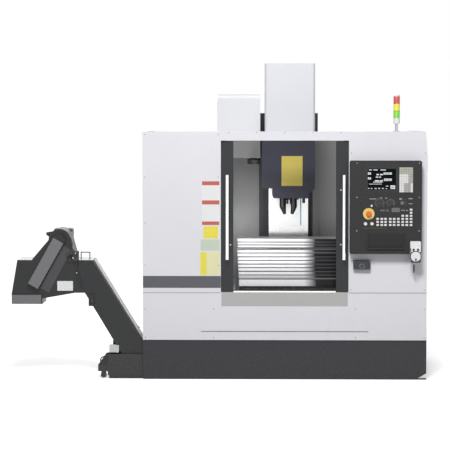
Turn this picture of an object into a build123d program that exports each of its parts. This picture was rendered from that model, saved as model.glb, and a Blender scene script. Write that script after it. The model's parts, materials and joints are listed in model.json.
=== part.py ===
from build123d import *
from math import cos, pi, radians, sin, tan
import os

# A vertical machining centre with a hinged-belt chip conveyor on its left side.
# Millimetres. While it is built, X = 0 is the middle of the door opening, Y = 0 the
# front of the sheet-metal enclosure and Z = 0 the floor. +Y points to the back.

# Enclosure
half_width = 1120.0
panel_top = 1959.0
seam_z = 693.0
skirt_top = 314.0
skirt_bottom = 12.0
skirt_setback = 10.0
sheet = 3.0
panel_flange = 12.0
side_flange = 20.0
cabin_depth = 1480.0
opening_half = 503.0
corner_cut_x = 14.0
corner_cut_z = 175.0
skirt_cut_x = 68.0
skirt_cut_z = 40.0
skirt_opening_back = 620.0
skirt_opening_top = 302.0
groove_half = 660.0
groove_z = 384.0
groove_width = 6.0
groove_depth = 1.2
seam_groove = 3.0
seam_depth = 2.0

# Door opening, its sill and its header
sill_half = 498.0
sill_bottom = 582.0
sill_depth = 110.0
sill_skirt = 50.0
lip_y = 67.0
lip_height = 6.0
header_bottom = 1888.0
rail_web_y = 18.0
rail_web = 4.0
rail_ledge_z = 1900.0
rail_ledge = 6.0
rail_strip_y = 34.0
rail_strip_width = 10.0
rail_strip_height = 9.0
header_depth = 74.0

# Sliding doors
door_y = 16.0
door_thickness = 40.0
door_width = 545.0
door_bottom = 697.0
door_top = 1884.0
door_open_x = 405.0
door_meeting_gap = 2.0
rail_spare = 50.0
rail_half = door_open_x + door_width + rail_spare
stile_width = 100.0
tail_stile_width = 60.0
door_rail_width = 110.0
window_thickness = 8.0
hanger_thickness = 6.0
hanger_width = 70.0
hanger_inset = 90.0
hanger_gap = 2.0
roller_r = 12.0
roller_gap = 0.4
handle_inset_left = 47.0
handle_inset_right = 60.0
handle_width = 24.0
handle_depth = 16.0
handle_bottom = 952.0
handle_top = 1619.0
handle_stand = 38.0
standoff_r = 7.0

# Machine axis, travels and ways
axis_x = 48.0
table_y = 700.0
spindle_y = 740.0
x_travel = 300.0
y_travel_front = 160.0
y_travel_back = 240.0
z_travel_down = 100.0
z_travel_up = 365.0
way_gap = 0.6
guide_width = 45.0

# Bed
bed_bottom = 60.0
bed_front = 220.0
bed_foot_front = 640.0
bed_nose_bottom = 380.0
bed_seat = 640.0
bed_way_back = 1210.0
bed_half = 300.0
bed_rear_half = 380.0
bed_way = 735.0
bed_channel_half = 110.0
bed_channel_bottom = 660.0
bed_end_wall = 45.0
y_guide_x = 230.0
guide_height = 30.0
guide_end_gap = 20.0
pocket_length = 420.0
pocket_height = 300.0
pocket_depth = 60.0
pocket_bottom = 170.0
foot_r = 55.0
foot_height = 18.0
foot_stud_r = 15.0
foot_nut_r = 26.0
foot_nut_height = 14.0
foot_x = 250.0
foot_rows = (700.0, 1190.0, 1690.0)

# Column and the Z ways
column_front = 1230.0
column_back = 1750.0
column_half = 250.0
column_top = 2111.0
column_chamfer = 60.0
column_channel_half = 95.0
column_channel_depth = 110.0
column_end_wall = 60.0
z_guide_x = 140.0
z_guide_bottom = 930.0
z_guide_top = 2090.0
z_guide_depth = 35.0
z_motor_side = 150.0
z_motor_height = 230.0
magazine_arm_bottom = 1965.0
magazine_arm_top = 2095.0
magazine_arm_depth = 60.0

# Ball screws
screw_r = 16.0
journal_r = 12.0
screw_gap = 0.08
collar_r = 22.0
collar_length = 8.0
collar_gap = 2.0
journal_drop = 8.0
z_screw_inset = 45.0
nut_r = 32.0
nut_length = 80.0

# Saddle
saddle_half = 415.0
saddle_front = 550.0
saddle_back = 850.0
saddle_bottom = 741.0
saddle_top = 945.0
saddle_tunnel_half = 165.0
saddle_tunnel_top = 790.0
x_guide_y = 110.0
x_guide_height = 27.0
x_guide_width = 40.0
x_screw_z = 950.0
x_channel_half = 55.0
x_channel_bottom = 900.0
x_bearing_width = 30.0
x_bearing_top = 985.0

# Table
table_overhang = 10.0
table_half_x = saddle_half + table_overhang
table_half_y = 210.0
table_bottom = 1008.0
table_top = 1078.0
slot_count = 4
slot_pitch = 100.0
slot_throat = 18.0
slot_throat_depth = 18.0
slot_foot = 30.0
slot_foot_depth = 13.0
carriage_length = 80.0
carriage_spread = 140.0
carriage_gap = 3.0
carriage_wall = 18.0

# Telescopic front cover: the apron on the saddle, three moving hoods, one fixed hood
hood_count = 3
hood_sheet = 2.0
hood_top = 1004.0
hood_riser = 27.0
hood_tread = 18.0
hood_front = 420.0
hood_pitch = 64.0
hood_overlap = 20.0
hood_overhang = 10.0
hood_half = saddle_half + hood_overhang
hood_step = 4.0
hood_lip_gap = 0.5
hood_side = 60.0
fixed_hood_bottom = 687.0
last_plate_bottom = 726.0
last_plate_setback = 18.0

# Cabin lining
lining_inset = 80.0
lining_half = half_width - lining_inset
lining_top = 1940.0
lining_side_floor = 780.0
lining_floor = 687.0
lining_hole_room = 15.0
lining_hole_half = hood_half + lining_hole_room
lining_hole_front = 184.0
lining_back = 1260.0
chip_slot_half = 380.0
chip_slot_front = 118.0
chip_slot_back = 156.0

# Head and spindle
head_front = 530.0
head_back = 1190.0
head_left = 229.0
head_right = 204.5
head_bottom = 1494.0
head_top = 1890.0
nose_left = 140.0
nose_right = 158.0
nose_bottom = 1412.0
nose_back = 960.0
nose_cut = 14.0
head_block_length = 90.0
head_block_depth = 32.0
head_block_width = 95.0
guide_margin = 5.0
nut_margin = 49.0
cartridge_r = 80.0
cartridge_bottom = 1395.0
spindle_bore_r = 58.0
spindle_r = 57.92
spindle_top = 1760.0
spindle_nose_r = 44.0
spindle_nose_bottom = 1360.0
taper_mouth_r = 22.2
taper_depth = 65.0
taper_ratio = 7.0 / 24.0
draw_bore_r = 9.0
drive_key_width = 16.0
drive_key_height = 10.0
drive_key_depth = 14.0
drive_key_inset = 2.0
spindle_step = 4.0
cover_half_x = 204.5
cover_front = 520.0
cover_back = 930.0
cover_top = 2510.0
cover_wall = 3.0
cover_chamfer = 2.0
cover_fillet = 25.0

# Coolant nozzles under the head
nozzle_left_x = -55.0
nozzle_right_x = 36.0
nozzle_r = 26.0
nozzle_tip_r = 12.0
nozzle_length = 135.0
nozzle_lean = 14.0
nozzle_y = -112.0
tube_r = 5.0
tube_x = 92.0
tube_length = 226.0
pin_nozzle_x = 116.0
pin_nozzle_length = 42.0
pin_nozzle_r = 12.0

# Z way covers
z_cover_half = 167.0
z_cover_fixed_y = 1180.0
z_cover_gap = 3.0
z_cover_bottom = 775.0
z_cover_fixed_top = 1380.0
z_cover_overlap = 30.0
z_cover_lip = 12.0
z_cover_bracket = 40.0

# Tool magazine and change arm
magazine_left = -542.0
magazine_right = -193.0
magazine_front = 640.0
magazine_back = 1225.0
magazine_bottom = 1739.0
magazine_top = 2267.0
magazine_fillet = 40.0
drum_x = -428.0
drum_thickness = 26.0
drum_r = 222.0
drum_hub_r = 60.0
drum_hub_length = 70.0
drum_shaft_r = 28.0
drum_gap = 0.08
pot_count = 16
pot_r = 27.0
pot_bore_r = 20.0
pot_length = 70.0
pot_circle = 186.0
arm_x = -247.0
arm_shaft_r = 30.0
arm_shaft_top = 1890.0
arm_hub_r = 52.0
arm_hub_height = 45.0
arm_drop = 6.0
arm_reach = 292.0
arm_width = 56.0
arm_thickness = 28.0
arm_jaw_r = 32.0
arm_jaw_wall = 14.0
arm_mouth_half = 25.0
arm_stroke = 115.0
cam_box_half = 50.0
cam_box_depth = 105.0
cam_box_top = 1905.0

# Electrical cabinet at the back
cabinet_left = -560.0
cabinet_right = 640.0
cabinet_bottom = 380.0
cabinet_top = 1950.0
cabinet_back = 2160.0
cabinet_wall = 2.5
cabinet_lip = 25.0
cabinet_door_gap = 3.0
cabinet_door_depth = 24.0
cabinet_door_margin = 4.0
cabinet_hinge_out = 12.0
hinge_r = 9.0
hinge_pin_r = 4.5
hinge_gap = 0.08
hinge_end_gap = 0.4
hinge_length = 70.0
hinge_leaf = 20.0
hinge_rows = (560.0, 1160.0, 1760.0)
latch_x = -490.0
latch_z = 1160.0
latch_half_height = 70.0
latch_half_width = 16.0
latch_depth = 14.0
back_plate_margin = 60.0
back_plate_depth = 20.0

# Operator's control box
box_left = 508.0
box_right = 1069.0
box_bottom = 1002.0
box_top = 1732.0
box_depth = 80.0
box_fillet = 16.0
screen_left = 637.0
screen_right = 876.0
screen_bottom = 1498.0
screen_top = 1679.0
screen_depth = 5.0
screen_recess = 1.5
screen_fillet = 8.0
key_height = 3.0
key_width = 21.0
key_tall = 16.0
key_rows = (1278.0, 1254.0, 1230.0)
key_columns = (724.5, 757.0, 786.0, 823.0, 853.0, 886.0, 920.0, 952.0, 985.0)
extra_keys = ((920.0, 1302.0), (952.0, 1302.0), (985.0, 1302.0), (985.0, 1326.0),
              (985.0, 1350.0))
mdi_key = 13.0
mdi_pitch = 17.8
mdi_left = 901.0
mdi_top = 1671.5
mdi_columns = 6
mdi_rows = 11
dial_1_x = 741.0
dial_2_x = 826.0
dial_z = 1402.0
dial_plate_r = 34.0
dial_plate_2_r = 27.0
dial_plate_height = 2.0
knob_1_r = 22.0
knob_2_r = 17.0
knob_height = 18.0
knob_waist = 12.0
stem_r = 5.0
stem_length = 14.0
stem_gap = 0.08
socket_x = 915.0
socket_side = 46.0
socket_height = 8.0
stop_x = 655.0
stop_z = 1317.0
stop_plate_r = 45.0
stop_plate_height = 3.0
stop_cap_r = 22.0
stop_cap_height = 16.0
stop_neck_r = 13.0
stop_neck_gap = 0.5
stop_lift = 9.0
stop_travel = 6.0
push_r = 13.0
push_height = 7.0
push_travel = 3.0
push_chamfer = 1.5
push_ring_r = 18.0
start_x = 630.0
hold_x = 680.0
push_z = 1239.0

# Service port box, hand pendant and its lead
port_left = 539.5
port_right = 673.5
port_bottom = 871.0
port_top = 949.0
port_depth = 30.0
port_lid = 6.0
port_fillet = 5.0
port_chamfer = 2.0
pendant_left = 978.0
pendant_right = 1060.0
pendant_top = 1104.0
pendant_bottom = 938.0
pendant_depth = 42.0
pendant_fillet = 9.0
selector_r = 9.0
selector_height = 12.0
selector_spread = 17.0
selector_z = 1041.0
wheel_z = 986.0
wheel_r = 36.0
wheel_height = 14.0
wheel_gap = 2.0
wheel_chamfer = 3.0
wheel_stem_gap = 2.0
crank_r = 6.0
crank_height = 14.0
crank_offset = 22.0
lead_r = 3.5
lead_x = 1011.0
lead_front_y = -101.0
lead_back_y = -31.0
lead_bends = ((-101.0, 896.0), (-93.0, 864.0), (-66.0, 852.0), (-39.0, 866.0),
              (-32.0, 902.0), (-31.0, 938.0))
gland_r = 8.0
gland_height = 14.0

# Signal tower
tower_x = 877.0
tower_y = 36.0
tower_pole_r = 12.0
tower_r = 25.0
tower_pole_top = 2020.0
tower_base_top = 2063.0
lens_height = 57.0
lens_gap = 1.0
lens_groove = 2.0
lens_count = 3
tower_cap = 14.0
tower_cap_fillet = 8.0
tower_flange_r = 28.0
tower_flange = 4.0

# Chip conveyor
conveyor_front = 60.0
conveyor_back = 330.0
conveyor_wall = 3.0
conveyor_low = 45.0
conveyor_high = 215.0
conveyor_right = 850.0
incline_foot_low_x = -1201.0
incline_foot_high_x = -1081.0
incline_top_x = -1522.0
hopper_z = 934.0
head_x = -1783.0
head_z = 1101.0
head_r = 87.0
head_right_x = -1651.0
head_left_x = -2012.0
hopper_left_x = -2121.0
chute_left_x = -2166.0
chute_right_x = -1922.0
chute_top = 675.0
chute_bottom = 590.0
chute_slope_z = 634.0
hopper_floor_x = -1661.0
hopper_floor_z = 680.0
incline_low_x = -1584.0
strip_width = 24.0
strip_out = 6.0
belt_half = 36.0
belt_thickness = 7.0
belt_inset = 12.0
belt_low_z = 130.0
belt_bend_x = -1139.0
belt_top_x = -1700.0
belt_right_x = 780.0
cleat_height = 8.0
cleat_thickness = 4.0
cleat_pitch = 190.0
intake_half = 700.0
conveyor_shaft_r = 20.0
shaft_gap = 0.08
sprocket_r = 28.6
sprocket_teeth = 8
sprocket_width = 26.0
guard_low_x = -1993.0
guard_low_z = 733.0
guard_half = 47.0
guard_depth = 42.0
guard_wall = 3.0
chain_sprocket_r = 30.0
chain_sprocket_width = 12.0
plate_left = -1802.0
plate_right = -1678.0
plate_bottom = 697.0
plate_top = 774.0
plate_depth = 2.0
gearbox_half = 75.0
gearbox_depth = 110.0
motor_r = 58.0
motor_length = 230.0
fin_count = 6
fin_height = 5.0
fin_width = 6.0
bracket_left = -1544.0
bracket_right = -1514.0
bracket_bottom = 577.0
bracket_top = 620.0
bracket_depth = 60.0
conveyor_feet = (-1050.0, -200.0, 650.0)
conveyor_foot_half = 40.0
hook_x = -1590.0
hook_r = 4.0
hook_height = 60.0
hook_width = 70.0

# Coolant tank
tank_left = -1402.0
tank_right = 950.0
tank_front = 40.0
tank_back = 600.0
tank_bottom = 25.0
tank_top = 196.0
tank_wall = 3.0
tank_lid_y = conveyor_back + tank_wall + 1
filter_left = -1392.0
filter_right = -1313.0
filter_front = 430.0
filter_back = 590.0
filter_height = 66.0
skid_width = 60.0
skid_x = 820.0
stop_bar_half = 15.0
stop_bar_x = 180.0
stop_bar_z = 125.0
pump_x = -1235.0
pump_y = 500.0
pump_r = 55.0
pump_height = 172.0
pump_flange_r = 70.0
pump_flange = 10.0
pump_stem_r = 35.0
caster_x = -1437.0
caster_left = -1480.0
caster_top = 111.0
caster_fork_top = 56.0
caster_cheek = 7.0
caster_cheek_half = 18.0
caster_wheel_r = 25.0
caster_wheel_width = 22.0
caster_side_gap = 1.0
caster_pin_r = 5.0
caster_pin_gap = 0.08
caster_chamfer = 2.0
caster_rows = (74.0, 566.0)
grip_r = 5.0
grip_bend = 24.0
grip_rise = 34.0


# Places that follow from the sizes above
y_screw_z = (bed_channel_bottom + bed_way) / 2
z_screw_y = column_front + z_screw_inset
head_block_top = z_guide_top - z_travel_up - guide_margin
z_nut_top = head_block_top - nut_margin
hood_spacing_max = hood_pitch + y_travel_back / (hood_count + 1)
hood_reach = hood_spacing_max - hood_tread + hood_overlap
hinge_x = cabinet_right + cabinet_hinge_out
hinge_y = cabinet_back + cabinet_door_gap + cabinet_door_depth / 2
drum_y = (magazine_front + magazine_back) / 2
drum_z = (magazine_bottom + magazine_top) / 2
rail_top = rail_ledge_z + rail_ledge + rail_strip_height
knob_flutes = 12


def block(x0, x1, y0, y1, z0, z1):
    """A box between two corners."""
    centre = Pos((x0 + x1) / 2, (y0 + y1) / 2, (z0 + z1) / 2)
    return centre * Box(abs(x1 - x0), abs(y1 - y0), abs(z1 - z0))


def rod_x(x0, x1, y, z, r):
    """A cylinder along X."""
    return Pos((x0 + x1) / 2, y, z) * Rot(0, 90, 0) * Cylinder(r, abs(x1 - x0))


def rod_y(x, y0, y1, z, r):
    """A cylinder along Y."""
    return Pos(x, (y0 + y1) / 2, z) * Rot(90, 0, 0) * Cylinder(r, abs(y1 - y0))


def rod_z(x, y, z0, z1, r):
    """A cylinder along Z."""
    return Pos(x, y, (z0 + z1) / 2) * Cylinder(r, abs(z1 - z0))


def outline(points):
    """A flat face from its corner points."""
    return make_face(Polyline(*points, close=True))


def along_x(face, x0, x1):
    """A face drawn in (Y, Z), stretched from x0 to x1."""
    return extrude(Plane.YZ.offset(x0) * face, x1 - x0, dir=(1, 0, 0))


def along_y(face, y0, y1):
    """A face drawn in (X, Z), stretched from y0 to y1."""
    return extrude(Plane.XZ.offset(-y0) * face, y1 - y0, dir=(0, 1, 0))


def along_z(face, z0, z1):
    """A face drawn in (X, Y), stretched from z0 to z1."""
    return extrude(Plane.XY.offset(z0) * face, z1 - z0, dir=(0, 0, 1))


def rectangle(u0, u1, v0, v1):
    """A rectangular face between two corners."""
    return outline([(u0, v0), (u1, v0), (u1, v1), (u0, v1)])


def turned(x, y, points):
    """A solid of revolution about a vertical axis, from (radius, z) points."""
    profile = Plane.XZ * outline(points)
    return Pos(x, y, 0) * revolve(profile, Axis.Z)


def front_tray(face, depth):
    """A front panel: a sheet at Y = 0 with its edges folded back."""
    inside = offset(face, -sheet)
    return along_y(face, 0, depth) - along_y(inside, sheet, depth + 1)


def make_bed():
    """The cast bed: a nose that carries the Y ways, a wide foot for the column."""
    profile = outline([
        (bed_front, bed_nose_bottom), (bed_foot_front, bed_nose_bottom),
        (bed_foot_front, bed_bottom), (column_back, bed_bottom), (column_back, bed_seat),
        (bed_way_back, bed_seat), (bed_way_back, bed_way), (bed_front, bed_way)])
    body = along_x(profile, axis_x - bed_half, axis_x + bed_half)
    body += block(axis_x - bed_rear_half, axis_x + bed_rear_half,
                  bed_way_back, column_back, bed_bottom, bed_seat)
    body -= block(axis_x - bed_channel_half, axis_x + bed_channel_half,
                  bed_front + bed_end_wall, bed_way_back - bed_end_wall,
                  bed_channel_bottom, bed_way + 1)
    body -= rod_y(axis_x, bed_front - 1, bed_way_back + 1, y_screw_z, journal_r + screw_gap)
    for side in (-1, 1):
        x = axis_x + side * y_guide_x
        body += block(x - guide_width / 2, x + guide_width / 2,
                      bed_front + guide_end_gap, bed_way_back - guide_end_gap,
                      bed_way, bed_way + guide_height)
        outer = axis_x + side * bed_half
        body -= block(outer - side * pocket_depth, outer + side,
                      bed_foot_front + pocket_depth, bed_foot_front + pocket_length,
                      pocket_bottom, pocket_bottom + pocket_height)
        rear = axis_x + side * bed_rear_half
        body -= block(rear - side * pocket_depth, rear + side,
                      bed_way_back + pocket_depth, bed_way_back + pocket_length,
                      pocket_bottom, pocket_bottom + pocket_height)
    return body


def make_feet():
    """Six levelling feet: a pad, a stud and a nut under the bed."""
    feet = []
    nut = RegularPolygon(foot_nut_r, 6)
    for y in foot_rows:
        for side in (-1, 1):
            x = axis_x + side * foot_x
            foot = turned(x, y, [
                (0, 0), (foot_r, 0), (foot_r, foot_height / 2),
                (foot_nut_r, foot_height), (foot_stud_r, foot_height),
                (foot_stud_r, bed_bottom), (0, bed_bottom)])
            feet.append(foot + Pos(x, y, 0) * along_z(
                nut, bed_bottom - foot_nut_height, bed_bottom))
    return Compound(feet)


def make_column():
    """The column: Z guideways, a channel for the ball screw, the drive motor on top."""
    plan = outline([
        (axis_x - column_half, column_front), (axis_x + column_half, column_front),
        (axis_x + column_half, column_back - column_chamfer),
        (axis_x + column_half - column_chamfer, column_back),
        (axis_x - column_half + column_chamfer, column_back),
        (axis_x - column_half, column_back - column_chamfer)])
    body = along_z(plan, bed_seat, column_top)
    body -= block(axis_x - column_channel_half, axis_x + column_channel_half,
                  column_front - 1, column_front + column_channel_depth,
                  bed_seat + column_end_wall, column_top - column_end_wall)
    body -= rod_z(axis_x, z_screw_y, bed_seat + journal_drop, column_top + 1,
                  journal_r + screw_gap)
    for side in (-1, 1):
        x = axis_x + side * z_guide_x
        body += block(x - guide_width / 2, x + guide_width / 2,
                      column_front - z_guide_depth, column_front,
                      z_guide_bottom, z_guide_top)
    half = z_motor_side / 2
    body += block(axis_x - half, axis_x + half, z_screw_y - half, z_screw_y + half,
                  column_top, column_top + z_motor_height)
    body += block(magazine_left + magazine_fillet, axis_x - column_half,
                  magazine_back, magazine_back + magazine_arm_depth,
                  magazine_arm_bottom, magazine_arm_top)
    return body


def make_screw(length, flip):
    """A ball screw along Z from its middle, with journals and thrust collars."""
    half = length / 2
    end = half + collar_length + flip
    body = Cylinder(screw_r, length) + Cylinder(journal_r, 2 * end)
    for side in (-1, 1):
        body += Pos(0, 0, side * (half + collar_length / 2)) * Cylinder(
            collar_r, collar_length)
    return body


def make_x_screw():
    inner = saddle_half - x_bearing_width - collar_gap - collar_length
    screw = make_screw(2 * inner, x_bearing_width + collar_gap)
    return Pos(axis_x, table_y, x_screw_z) * Rot(0, 90, 0) * screw


def make_y_screw():
    front = bed_front + bed_end_wall + collar_gap + collar_length
    back = bed_way_back - bed_end_wall - collar_gap - collar_length
    screw = make_screw(back - front, bed_end_wall - collar_length)
    return Pos(axis_x, (front + back) / 2, y_screw_z) * Rot(90, 0, 0) * screw


def make_z_screw():
    low = bed_seat + column_end_wall + collar_gap + collar_length
    high = column_top - column_end_wall - collar_gap - collar_length
    screw = make_screw(high - low, column_end_wall - collar_length)
    return Pos(axis_x, z_screw_y, (low + high) / 2) * screw


def carriage(width, height, length, gap_width, gap_height):
    """A guide carriage along Y, its top at Z = 0, with a slot for the rail below."""
    body = block(-width / 2, width / 2, -length / 2, length / 2, -height, 0)
    return body - block(-gap_width / 2, gap_width / 2, -length, length,
                        -height - 1, -height + gap_height)


def make_saddle():
    """The cross saddle: carriages below, X guideways above, the apron cover in front."""
    body = block(axis_x - saddle_half, axis_x + saddle_half, saddle_front, saddle_back,
                 saddle_bottom, saddle_top)
    body -= block(axis_x - saddle_tunnel_half, axis_x + saddle_tunnel_half,
                  saddle_front - 1, saddle_back + 1, saddle_bottom - 1, saddle_tunnel_top)
    for side in (-1, 1):
        x = axis_x + side * y_guide_x
        half = guide_width / 2 + way_gap
        body -= block(x - half, x + half, saddle_front - 1, saddle_back + 1,
                      saddle_bottom - 1, bed_way + guide_height + way_gap)
        y = table_y + side * x_guide_y
        body += block(axis_x - saddle_half, axis_x + saddle_half,
                      y - x_guide_width / 2, y + x_guide_width / 2,
                      saddle_top, saddle_top + x_guide_height)
        outer = axis_x + side * saddle_half
        body += block(outer - side * x_bearing_width, outer,
                      table_y - x_channel_half, table_y + x_channel_half,
                      x_channel_bottom, x_bearing_top)
    inner = saddle_half - x_bearing_width
    body -= block(axis_x - inner, axis_x + inner, table_y - x_channel_half,
                  table_y + x_channel_half, x_channel_bottom, saddle_top + 1)
    body -= rod_x(axis_x - saddle_half - 1, axis_x + saddle_half + 1, table_y,
                  x_screw_z, journal_r + screw_gap)
    lug = block(axis_x - nut_r, axis_x + nut_r, table_y - nut_length / 2,
                table_y + nut_length / 2, y_screw_z - nut_r, saddle_tunnel_top)
    lug -= rod_y(axis_x, table_y - nut_length, table_y + nut_length, y_screw_z,
                 screw_r + screw_gap)
    return body + lug + make_hood(0)


def make_hood(number):
    """One hood of the front cover. 0 is the apron on the saddle, the last is fixed."""
    level = hood_top - number * 2 * hood_riser
    front = hood_front - number * hood_pitch
    half = hood_half - number * hood_step
    step_y = front + hood_tread
    fixed = number == hood_count + 1
    back = saddle_front if number == 0 else step_y + hood_reach
    if fixed:
        drop = fixed_hood_bottom
    else:
        drop = level - 2 * hood_riser + hood_lip_gap
    middle = level - hood_riser
    outer = [(back, level), (step_y, level), (step_y, middle), (front, middle),
             (front, drop)]
    inner = [(front + hood_sheet, drop), (front + hood_sheet, middle - hood_sheet),
             (step_y + hood_sheet, middle - hood_sheet),
             (step_y + hood_sheet, level - hood_sheet), (back, level - hood_sheet)]
    if fixed:
        recess = front + last_plate_setback
        shelf = last_plate_bottom
        outer = [(back, level), (front, level), (front, shelf), (recess, shelf),
                 (recess, drop)]
        inner = [(recess + hood_sheet, drop), (recess + hood_sheet, shelf + hood_sheet),
                 (front + hood_sheet, shelf + hood_sheet),
                 (front + hood_sheet, level - hood_sheet), (back, level - hood_sheet)]
    hood = along_x(outline(outer + inner), axis_x - half, axis_x + half)
    side_bottom = fixed_hood_bottom if fixed else level - hood_side
    side_face = outline(outer + [(back, side_bottom)]) if fixed else outline(
        outer + [(step_y, side_bottom), (back, side_bottom)])
    for side in (-1, 1):
        edge = axis_x + side * half
        inward = edge - side * hood_sheet
        hood += along_x(side_face, min(edge, inward), max(edge, inward))
    if number == 0:
        hood += block(axis_x - saddle_half, axis_x + saddle_half, saddle_front - hood_sheet,
                      saddle_front, saddle_top - hood_side, hood_top)
    return hood


def make_table():
    """The table: T-slots along X, carriages and the ball nut below."""
    body = block(axis_x - table_half_x, axis_x + table_half_x, table_y - table_half_y,
                 table_y + table_half_y, table_bottom, table_top)
    for n in range(slot_count):
        y = table_y + (n - (slot_count - 1) / 2) * slot_pitch
        throat_bottom = table_top - slot_throat_depth
        slot = rectangle(y - slot_throat / 2, y + slot_throat / 2, throat_bottom - 1,
                         table_top + 1)
        slot += rectangle(y - slot_foot / 2, y + slot_foot / 2,
                          throat_bottom - slot_foot_depth, throat_bottom)
        body -= along_x(slot, axis_x - table_half_x - 1, axis_x + table_half_x + 1)
    height = table_bottom - saddle_top - carriage_gap
    slot_height = x_guide_height - carriage_gap + way_gap
    block_width = x_guide_width + 2 * carriage_wall
    shape = carriage(block_width, height, carriage_length,
                     x_guide_width + 2 * way_gap, slot_height)
    for side_x in (-1, 1):
        for side_y in (-1, 1):
            place = Pos(axis_x + side_x * carriage_spread / 2,
                        table_y + side_y * x_guide_y, table_bottom)
            body += place * Rot(0, 0, 90) * shape
    lug = block(axis_x - nut_length / 2, axis_x + nut_length / 2, table_y - nut_r,
                table_y + nut_r, x_screw_z - nut_r, table_bottom)
    lug -= rod_x(axis_x - nut_length, axis_x + nut_length, table_y, x_screw_z,
                 screw_r + screw_gap)
    return body + lug


def make_head():
    """The spindle head casting: a wide body, a narrower nose and four carriages."""
    front = outline([
        (axis_x - head_left, head_bottom), (axis_x - nose_left, head_bottom),
        (axis_x - nose_left, nose_bottom + nose_cut), (axis_x - nose_left + nose_cut,
                                                       nose_bottom),
        (axis_x + nose_right, nose_bottom),
        (axis_x + nose_right, head_bottom - head_right + nose_right),
        (axis_x + head_right, head_bottom), (axis_x + head_right, head_top),
        (axis_x - head_left, head_top)])
    body = along_y(front, head_front, nose_back)
    body += block(axis_x - head_left, axis_x + head_right, nose_back, head_back,
                  head_bottom, head_top)
    body += rod_z(axis_x, spindle_y, cartridge_bottom, nose_bottom, cartridge_r)
    body -= rod_z(axis_x, spindle_y, cartridge_bottom - 1, spindle_top + collar_gap,
                  spindle_bore_r)
    length = head_block_length
    for side in (-1, 1):
        x = axis_x + side * z_guide_x
        for z in (head_bottom + length / 2, head_block_top - length / 2):
            body += block(x - head_block_width / 2, x + head_block_width / 2, head_back,
                          head_back + head_block_depth, z - length / 2, z + length / 2)
        half = guide_width / 2 + way_gap
        body -= block(x - half, x + half, column_front - z_guide_depth - way_gap,
                      column_front, head_bottom - 1, head_top + 1)
    nut = block(axis_x - nut_r, axis_x + nut_r, head_back, z_screw_y + nut_r,
                z_nut_top - nut_length, z_nut_top)
    nut -= rod_z(axis_x, z_screw_y, z_nut_top - 2 * nut_length, z_nut_top + 1,
                 screw_r + screw_gap)
    return body + nut


def make_head_cover():
    """The sheet-metal cover over the spindle motor."""
    low = head_top
    shell = block(axis_x - cover_half_x, axis_x + cover_half_x, cover_front, cover_back,
                  low, cover_top)
    shell = fillet(shell.edges().filter_by(Axis.Z), cover_fillet)
    shell = chamfer(shell.faces().sort_by(Axis.Z)[-1].edges(), cover_chamfer)
    wall = cover_wall
    hollow = block(axis_x - cover_half_x + wall, axis_x + cover_half_x - wall,
                   cover_front + wall, cover_back - wall, low - 1, cover_top - wall)
    hollow = fillet(hollow.edges().filter_by(Axis.Z), cover_fillet - wall)
    return shell - hollow


def make_spindle():
    """The spindle: body, nose, tool taper, draw-bar bore and two drive keys."""
    taper_top_r = taper_mouth_r - taper_depth * taper_ratio / 2
    taper_z = spindle_nose_bottom + taper_depth
    body = turned(axis_x, spindle_y, [
        (taper_mouth_r, spindle_nose_bottom), (spindle_nose_r, spindle_nose_bottom),
        (spindle_nose_r, cartridge_bottom - collar_gap),
        (spindle_r, cartridge_bottom - collar_gap + spindle_step), (spindle_r, spindle_top),
        (draw_bore_r, spindle_top), (draw_bore_r, taper_z), (taper_top_r, taper_z)])
    for side in (-1, 1):
        x0 = taper_mouth_r + drive_key_inset
        x1 = x0 + drive_key_depth
        body += block(axis_x + side * x0, axis_x + side * x1,
                      spindle_y - drive_key_width / 2, spindle_y + drive_key_width / 2,
                      spindle_nose_bottom - drive_key_height, spindle_nose_bottom + 1)
    return body


def make_nozzles():
    """Two thick coolant nozzles, an air tube and a pin nozzle under the head."""
    y = spindle_y + nozzle_y
    pieces = []
    for x, lean in ((nozzle_left_x, nozzle_lean), (nozzle_right_x, -nozzle_lean)):
        bend = nose_bottom - nozzle_length / 2
        base = rod_z(axis_x + x, y, bend, nose_bottom, nozzle_r)
        tip = Pos(axis_x + x, y, bend) * Rot(0, -lean, 0) * Pos(
            0, 0, -nozzle_length / 4) * Cone(nozzle_tip_r, nozzle_r, nozzle_length / 2)
        pieces.append(base + tip + Pos(axis_x + x, y, bend) * Sphere(nozzle_r))
    pieces.append(rod_z(axis_x + tube_x, y, nose_bottom - tube_length, nose_bottom, tube_r))
    pin_low = nose_bottom - pin_nozzle_length
    pieces.append(rod_z(axis_x + pin_nozzle_x, y, pin_low, nose_bottom, pin_nozzle_r))
    return Compound(pieces)


def make_z_cover_fixed():
    """The lower Z way cover, bracketed to the column."""
    x0, x1 = axis_x - z_cover_half, axis_x + z_cover_half
    plate = block(x0, x1, z_cover_fixed_y, z_cover_fixed_y + sheet, z_cover_bottom,
                  z_cover_fixed_top)
    for side in (-1, 1):
        x = axis_x + side * (z_cover_half - z_cover_lip / 2)
        plate += block(x - z_cover_lip / 2, x + z_cover_lip / 2,
                       z_cover_fixed_y + sheet, column_front,
                       z_cover_bottom, z_cover_bottom + z_cover_bracket)
    return plate


def make_z_cover_moving():
    """The upper Z way cover, hung from the head, in front of the lower one."""
    y1 = z_cover_fixed_y - z_cover_gap
    y0 = y1 - sheet
    x0, x1 = axis_x - z_cover_half, axis_x + z_cover_half
    low = z_cover_fixed_top - z_cover_overlap - z_travel_up
    plate = block(x0, x1, y0, y1, low, head_bottom)
    for x in (x0, x1 - sheet):
        plate += block(x, x + sheet, y1, y1 + z_cover_gap - 1, low, head_bottom)
    plate += block(x0, x1, y0 - z_cover_lip, y0, head_bottom - sheet, head_bottom)
    return plate


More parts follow.
